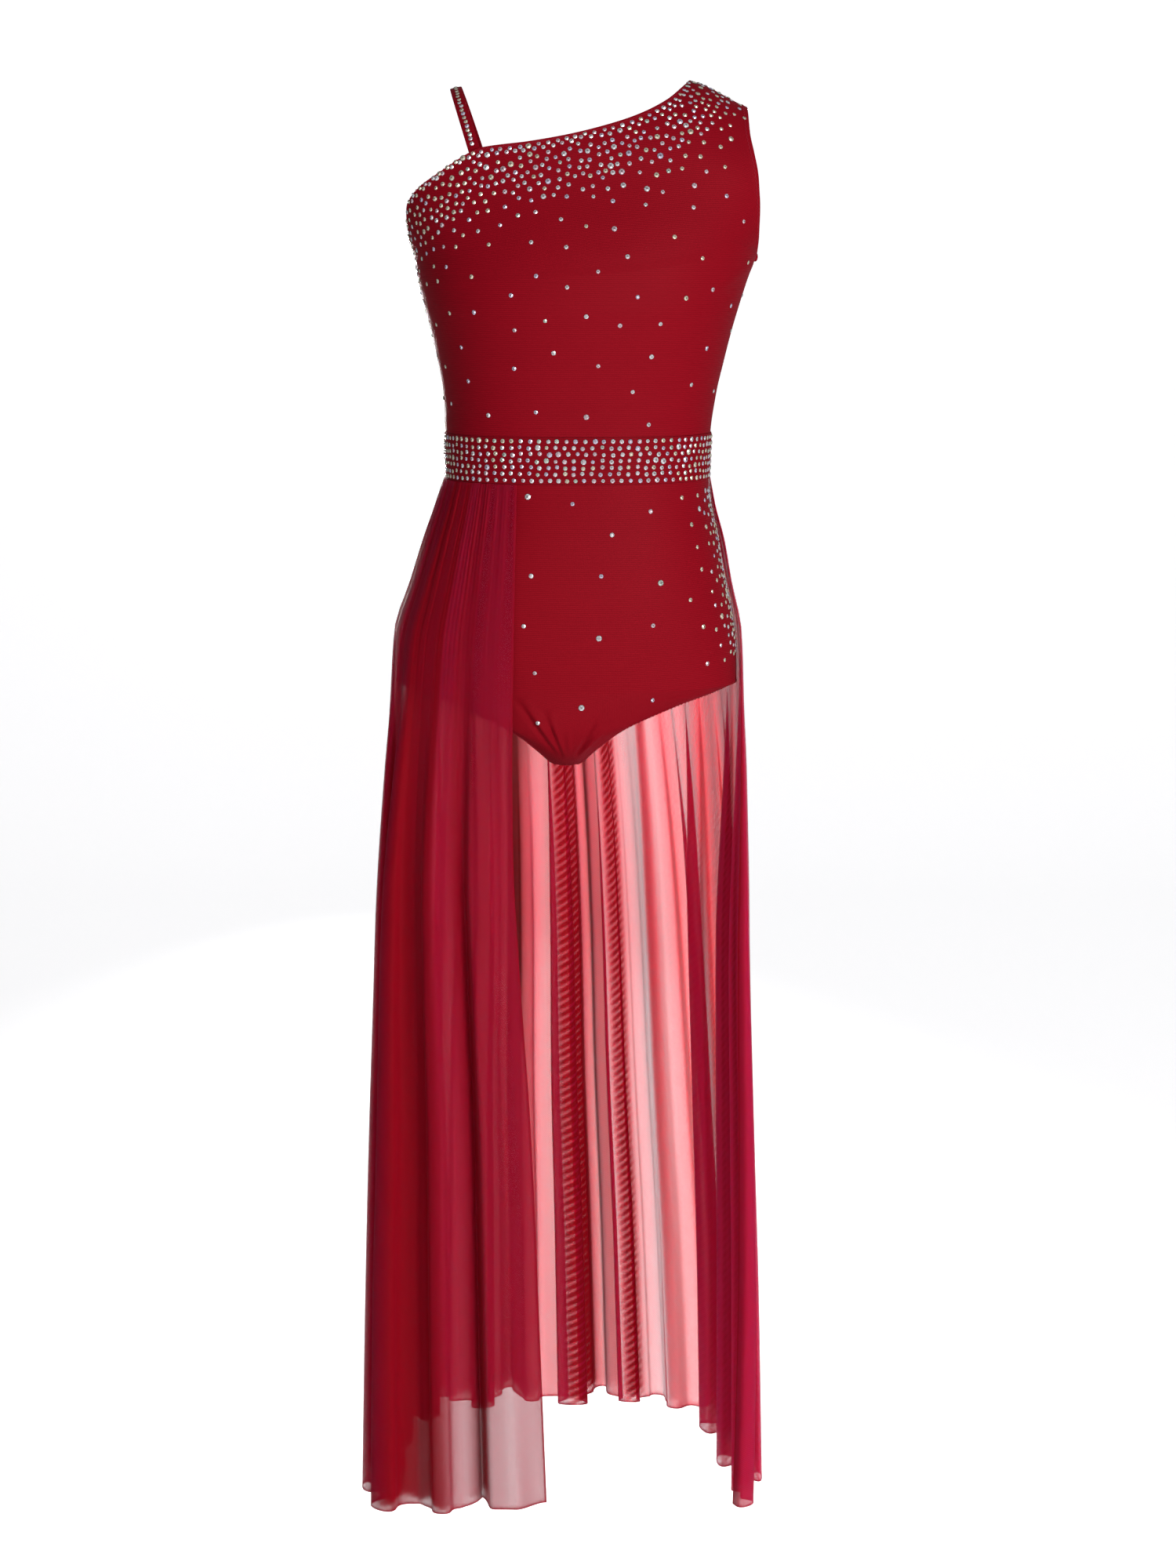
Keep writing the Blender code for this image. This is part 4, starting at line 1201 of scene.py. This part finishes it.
def bodiceSpacing(panel, denseDepth):
    grid = panel["grid"]
    neck = grid[-1, : panel["neckColumn"] + 1 : 3]
    fromLeft, fromRight = lengthFrom(grid, 1), lengthFrom(grid, 1, True)
    fromWaist = lengthFrom(grid, 0)
    steps = [*(denseDepth + np.array(bodiceStones["steps"])), bodiceStones["farDepth"]]
    spacings = [*bodiceStones["spacings"], bodiceStones["sparse"]]
    (high, low), fade = bodiceStones["sideLevels"], bodiceStones["sideFade"]
    armhole, clear = bodiceStones["armholeClear"], bodiceStones["edgeClear"]

    def spacingAt(points, row, column):
        z, neckGap, left = points[:, 2], distanceTo(neck, points), atGrid(fromLeft, row, column)
        side = np.interp(left, bodiceStones["sideSteps"], bodiceStones["sideSpacings"])
        side = side * (1 + fade["wider"] * ramp(high - z, fade["from"], high - low))
        side = side + fade["above"] * ramp(z, high - 2, high + 8) + fade["below"] * ramp(low - z, -10, 40)
        spacing = np.minimum(np.interp(neckGap, steps, spacings), side)
        nearHole = (atGrid(fromRight, row, column) < armhole["width"]) & (z < armhole["top"])
        nearEdge = (neckGap < clear["neck"]) | (left < clear["side"])
        nearWaist = atGrid(fromWaist, row, column) < clear["waist"]
        return np.where(nearHole | nearEdge | nearWaist, noStones, spacing)

    return spacingAt


def stoneBodice(name, panel, denseDepth, drops, seed):
    rows = neckRows(panel, drops, bodiceStones["rowSpacing"])
    places = scatterOver(panel, bodiceSpacing(panel, denseDepth), bodiceStones["tries"], rows)
    setStones(name, panel, places, pickRadii(len(places)), seed)


depths, drops = bodiceStones["denseDepth"], bodiceStones["rowDrops"]
stoneBodice("bodice_front_stones", bodiceFront, depths["front"], drops, 5)
stoneBodice("bodice_back_stones", bodiceBack, depths["back"], drops[:1], 6)

bandStones = {
    "rows": 7,
    "margin": 3.4,
    "starts": (2.0, 5.0),
    "end": 1.5,
    "shares": (0.1, 0.5),
    "spacings": (6.2, 8.4),
    "jitter": 0.8,
    "edgeJitter": 0.25,
    "largeShare": 0.08,
}


def stoneBand(name, panel, seed):
    grid = panel["grid"]
    across, down = lengthFrom(grid, 1)[0], lengthFrom(grid, 0)[:, 0]
    columns, rows = np.arange(grid.shape[1]), np.arange(grid.shape[0])
    width, margin, jitter = across[-1], bandStones["margin"], bandStones["jitter"]
    count = bandStones["rows"]
    places = []
    for k in range(count):
        fall = margin + (down[-1] - 2 * margin) * k / (count - 1)
        shake = jitter * (bandStones["edgeJitter"] if k in (0, count - 1) else 1)
        at = bandStones["starts"][k % 2]
        while at < width - bandStones["end"]:
            row = np.interp(fall + dice.uniform(-shake, shake), down, rows)
            places.append((row, np.interp(at, across, columns)))
            step = np.interp(1 - abs(2 * at / width - 1), bandStones["shares"], bandStones["spacings"])
            at += step + dice.uniform(-jitter, jitter)
    setStones(name, panel, np.array(places), pickRadii(len(places), bandStones["largeShare"]), seed)


stoneBand("waistband_front_stones", bandFront, 7)
stoneBand("waistband_back_stones", bandBack, 8)

briefStones = {
    "sparse": 39.0,
    "sideSteps": (0, 18, 32, 48, 70, 105),
    "sideSpacings": (4.4, 4.8, 7, 11, 18, 39),
    "sideLevels": (-374.0, -532.0),
    "sideClear": 1.5,
    "leftLimit": -50.0,
    "lowest": -606.0,
    "legClear": {"width": 21.0, "usual": 1.5, "wobble": 0.9, "rate": 1.1, "below": 6},
    "largeShare": 0.15,
    "tries": 5000,
}


def briefSpacing(panel):
    fromRight, fromLeft = lengthFrom(panel["grid"], 1, True), lengthFrom(panel["grid"], 1)
    (high, low), leg = briefStones["sideLevels"], briefStones["legClear"]

    def spacingAt(points, row, column):
        x, z, right = points[:, 0], points[:, 2], atGrid(fromRight, row, column)
        spacing = np.interp(right, briefStones["sideSteps"], briefStones["sideSpacings"])
        spacing = np.maximum(spacing, briefStones["sparse"] * ramp(low - z, -4, 14))
        clear = leg["width"] * (leg["usual"] + leg["wobble"] * np.sin(row * leg["rate"]))
        nearLeg = (np.minimum(right, atGrid(fromLeft, row, column)) < clear) & (z < low - leg["below"])
        off = (x < briefStones["leftLimit"]) | (z < briefStones["lowest"]) | (z > high)
        return np.where(nearLeg | off | (right < briefStones["sideClear"]), noStones, spacing)

    return spacingAt


def stoneBrief(name, panel, seed):
    places = scatterOver(panel, briefSpacing(panel), briefStones["tries"])
    setStones(name, panel, places, pickRadii(len(places), briefStones["largeShare"]), seed)


stoneBrief("brief_front_stones", briefFront, 9)

strapStones = {"spacing": 4.9, "jitter": 0.3, "columnJitter": 0.5, "clear": 3.0}


def stoneStrap(name, panel, seed):
    middle = panel["grid"].shape[1] // 2
    length = lengthFrom(panel["grid"], 0)[:, middle]
    end, jitter = strap["tuck"] + strapStones["clear"], strapStones["jitter"]
    at = np.arange(end, length[-1] - end, strapStones["spacing"])
    at = at + dice.uniform(-jitter, jitter, len(at))
    row = np.interp(at, length, np.arange(len(length)))
    aside = strapStones["columnJitter"]
    places = np.column_stack([row, middle + dice.uniform(-aside, aside, len(at))])
    setStones(name, panel, places, np.full(len(at), stoneSizes["usual"]), seed)


stoneStrap("shoulder_strap_stones", strapCloth, 10)
bpy.data.objects.remove(stoneShape)

# Zigzag stitches that hold the turned edges
zigzag = {"pitch": 1.9, "long": 2.6, "thick": 0.42, "tilt": 34.0, "proud": 0.3}


def makeStitchTree():
    inputs = {
        "Geometry": "Geometry",
        "Pitch": 0.002,
        "Stitch Length": 0.0026,
        "Thread Width": 0.0004,
        "Tilt": 0.6,
        "Thread Material": "Material",
    }
    tree, given, out = newGroup("GeometryNodeTree", "zigzagStitches", inputs, {"Geometry": "Geometry"})
    line = addNode(tree, "GeometryNodeMeshToCurve", {0: given["Geometry"]})[0]
    values = {"Curve": line, "Length": given["Pitch"]}
    even = addNode(tree, "GeometryNodeResampleCurve", values, mode="LENGTH")[0]
    tangent = addNode(tree, "GeometryNodeInputTangent")[0]
    values = {"Rotation": standOnCloth(tree), "Vector": tangent}
    laid = addNode(tree, "FunctionNodeAlignRotationToVector", values, axis="X", pivot_axis="Z")[0]
    odd = maths(tree, "MODULO", addNode(tree, "GeometryNodeInputIndex")[0], 2.0)
    lean = maths(tree, "MULTIPLY", maths(tree, "MULTIPLY_ADD", odd, 2.0, -1.0), given["Tilt"])
    width = given["Thread Width"]
    size = addNode(tree, "ShaderNodeCombineXYZ", {"X": given["Stitch Length"], "Y": width, "Z": width})
    stitch = addNode(tree, "GeometryNodeMeshCube", {"Size": size[0]})["Mesh"]
    placeShapes(tree, out, given["Thread Material"], stitch, even, laid, lean)
    return tree


def insetLine(panel, axis, atEnd, span):
    # points of the cloth at the stitch's distance from one of its edges
    grid, way = panel["grid"], -1 if atEnd else 1
    gap, steps = lengthFrom(grid, axis, atEnd), np.arange(grid.shape[axis])
    lines = []
    for i in span:
        run = gap[:, i] if axis == 0 else gap[i]
        place = np.interp(turnedEdge["inset"], run[::way], steps[::way])
        lines.append((place, i) if axis == 0 else (i, place))
    at, facing = onPanel(panel, *np.array(lines, float).T)
    return at + facing * zigzag["thick"] * zigzag["proud"], facing


def rowsAbove(panel, z, column):
    return np.flatnonzero(panel["grid"][:, column, 2] > z)


def stitchEdges(name, seams):
    edges, start = [], 0
    for at, facing in seams:
        edges += [(start + i, start + i + 1) for i in range(len(at) - 1)]
        start += len(at)
    piece = newPiece(name, np.concatenate([at for at, facing in seams]) * mm, edges=edges)
    markMesh(piece.data, "facing", np.concatenate([facing for at, facing in seams]), "FLOAT_VECTOR")
    values = {
        "Pitch": zigzag["pitch"] * mm,
        "Stitch Length": zigzag["long"] * mm,
        "Thread Width": zigzag["thick"] * mm,
        "Tilt": math.radians(zigzag["tilt"]),
        "Thread Material": thread,
    }
    runTree(piece, makeStitchTree(), values)
    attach(piece, "root")


stitchRuns = {"neckStart": 2, "neckEnd": 1, "rightFoot": -160, "leftFoot": -149, "leftEnd": 3, "legEnd": 4}
seams = []
for panel in (bodiceFront, bodiceBack):
    columns = np.arange(stitchRuns["neckStart"], panel["neckColumn"] - stitchRuns["neckEnd"])
    left = rowsAbove(panel, stitchRuns["leftFoot"], 0)[: -stitchRuns["leftEnd"]]
    seams.append(insetLine(panel, 0, True, columns))
    seams.append(insetLine(panel, 1, True, rowsAbove(panel, stitchRuns["rightFoot"], -1)))
    seams.append(insetLine(panel, 1, False, left))
for panel in (briefFront, briefBack):
    rows = np.arange(panel["hipRow"], len(panel["grid"]) - stitchRuns["legEnd"])
    seams += [insetLine(panel, 1, atEnd, rows) for atEnd in (True, False)]
stitchEdges("edge_stitches", seams)

# The end of the turned edge, sewn down as a small loop at the foot of the right armhole
armholeLoop = {"place": (166.2, 0.0, -160.4), "size": (2.6, 3.4, 4.6), "rings": 9, "sides": 14}


def buildLoop(name):
    sides, rings = armholeLoop["sides"], armholeLoop["rings"]
    turn = np.linspace(0, math.tau, sides, endpoint=False)
    points = [(0, 0, 1.0)]
    for rise in np.linspace(0, math.pi, rings + 2)[1:-1]:
        wide, high = math.sin(rise), math.cos(rise)
        points += [(wide * math.cos(a), wide * math.sin(a), high) for a in turn]
    points.append((0, 0, -1.0))
    faces = [(0, 1 + i, 1 + (i + 1) % sides) for i in range(sides)]
    for first in range(1, 1 + (rings - 1) * sides, sides):
        for i in range(sides):
            a, b = first + i, first + (i + 1) % sides
            faces.append((a, a + sides, b + sides, b))
    first, last = 1 + (rings - 1) * sides, len(points) - 1
    faces += [(first + (i + 1) % sides, first + i, last) for i in range(sides)]
    points = np.array(points) * armholeLoop["size"] + armholeLoop["place"]
    piece = newPiece(name, points * mm, faces)
    layFlat(piece.data, points[:, [1, 2]])
    piece.data.materials.append(cloths["stretch_knit"])
    piece.data.shade_smooth()
    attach(piece, "root")


buildLoop("armhole_loop")
print("edges stitched")
studio = {
    "floor": -1.72,
    "depth": 6.0,
    "bend": 1.6,
    "height": 5.0,
    "width": 40.0,
    "near": -7.0,
    "colour": (0.93, 0.93, 0.94),
    "glow": 0.72,
    "air": (0.16, 0.16, 0.17),
    "airSeen": (1.0, 1.0, 1.0),
}


def buildBackdrop():
    # a pale floor that bends up into the wall behind
    steps = np.linspace(0, math.pi / 2, 17)
    bend = studio["bend"]
    y = [studio["near"]] + list(studio["depth"] - bend + bend * np.sin(steps)) + [studio["depth"]]
    z = [studio["floor"]] + list(studio["floor"] + bend * (1 - np.cos(steps))) + [studio["height"]]
    half = studio["width"] / 2
    points = [(x, a, b) for a, b in zip(y, z) for x in (-half, half)]
    faces = [(2 * i, 2 * i + 1, 2 * i + 3, 2 * i + 2) for i in range(len(y) - 1)]
    backdrop = newPiece("backdrop", points, faces)
    backdrop.data.shade_smooth()
    values = {"Base Color": (*studio["colour"], 1), "Roughness": 0.95, "Emission Strength": studio["glow"]}
    paper, tree, shader = newMaterial("paleBackdrop", values)
    # it looks lit from behind without lighting the dress
    seen = addNode(tree, "ShaderNodeLightPath")["Is Camera Ray"]
    glow = mixColours(tree, seen, (0.0, 0.0, 0.0, 1), (1.0, 1.0, 1.0, 1))
    setInputs(tree, shader, {"Emission Color": glow})
    backdrop.data.materials.append(paper)


def addSoftbox(name, place, aim, size, power, spread=180):
    light = bpy.data.lights.new(name, "AREA")
    light.shape = "DISK"
    light.spread = math.radians(spread)
    light.size, light.energy = size, power
    box = bpy.data.objects.new(name, light)
    box.location = place
    way = np.array(aim) - np.array(place)
    box.rotation_mode = "QUATERNION"
    box.rotation_quaternion = Vector(way).to_track_quat("-Z", "Y")
    box.visible_camera = False  # the net would show it
    scene.collection.objects.link(box)


buildBackdrop()
for softbox in (
    ("keyLight", (1.9, -3.3, 0.4), (0, 0, -0.6), 2.2, 115),
    ("fillLight", (-0.4, -3.8, -0.9), (0, 0, -1.0), 2.0, 22),
    ("backLight", (-0.5, 4.5, -0.6), (0, 0, -0.75), 2.0, 50, 42),
):
    addSoftbox(*softbox)
world = bpy.data.worlds.new("studioAir")
world.use_nodes = True
seen = addNode(world.node_tree, "ShaderNodeLightPath")["Is Camera Ray"]
shown = mixColours(world.node_tree, seen, (*studio["air"], 1), (*studio["airSeen"], 1))
setInputs(world.node_tree, world.node_tree.nodes["Background"], {"Color": shown})
scene.world = world
print("studio lit")

view = {"place": (0.010, -2.9, -0.1406), "down": 10.176, "lens": 70.2, "film": 36.0, "reach": (0.05, 50.0)}
camera = bpy.data.objects.new("camera", bpy.data.cameras.new("camera"))
camera.data.lens, camera.data.sensor_width = view["lens"], view["film"]
camera.data.clip_start, camera.data.clip_end = view["reach"]
camera.location = view["place"]
camera.rotation_euler = (math.radians(90 - view["down"]), 0, 0)
scene.collection.objects.link(camera)
scene.camera = camera
scene.view_settings.view_transform = "Standard"
# many sheer layers lie behind each other
scene.cycles.transparent_max_bounces = 40
print("camera set")
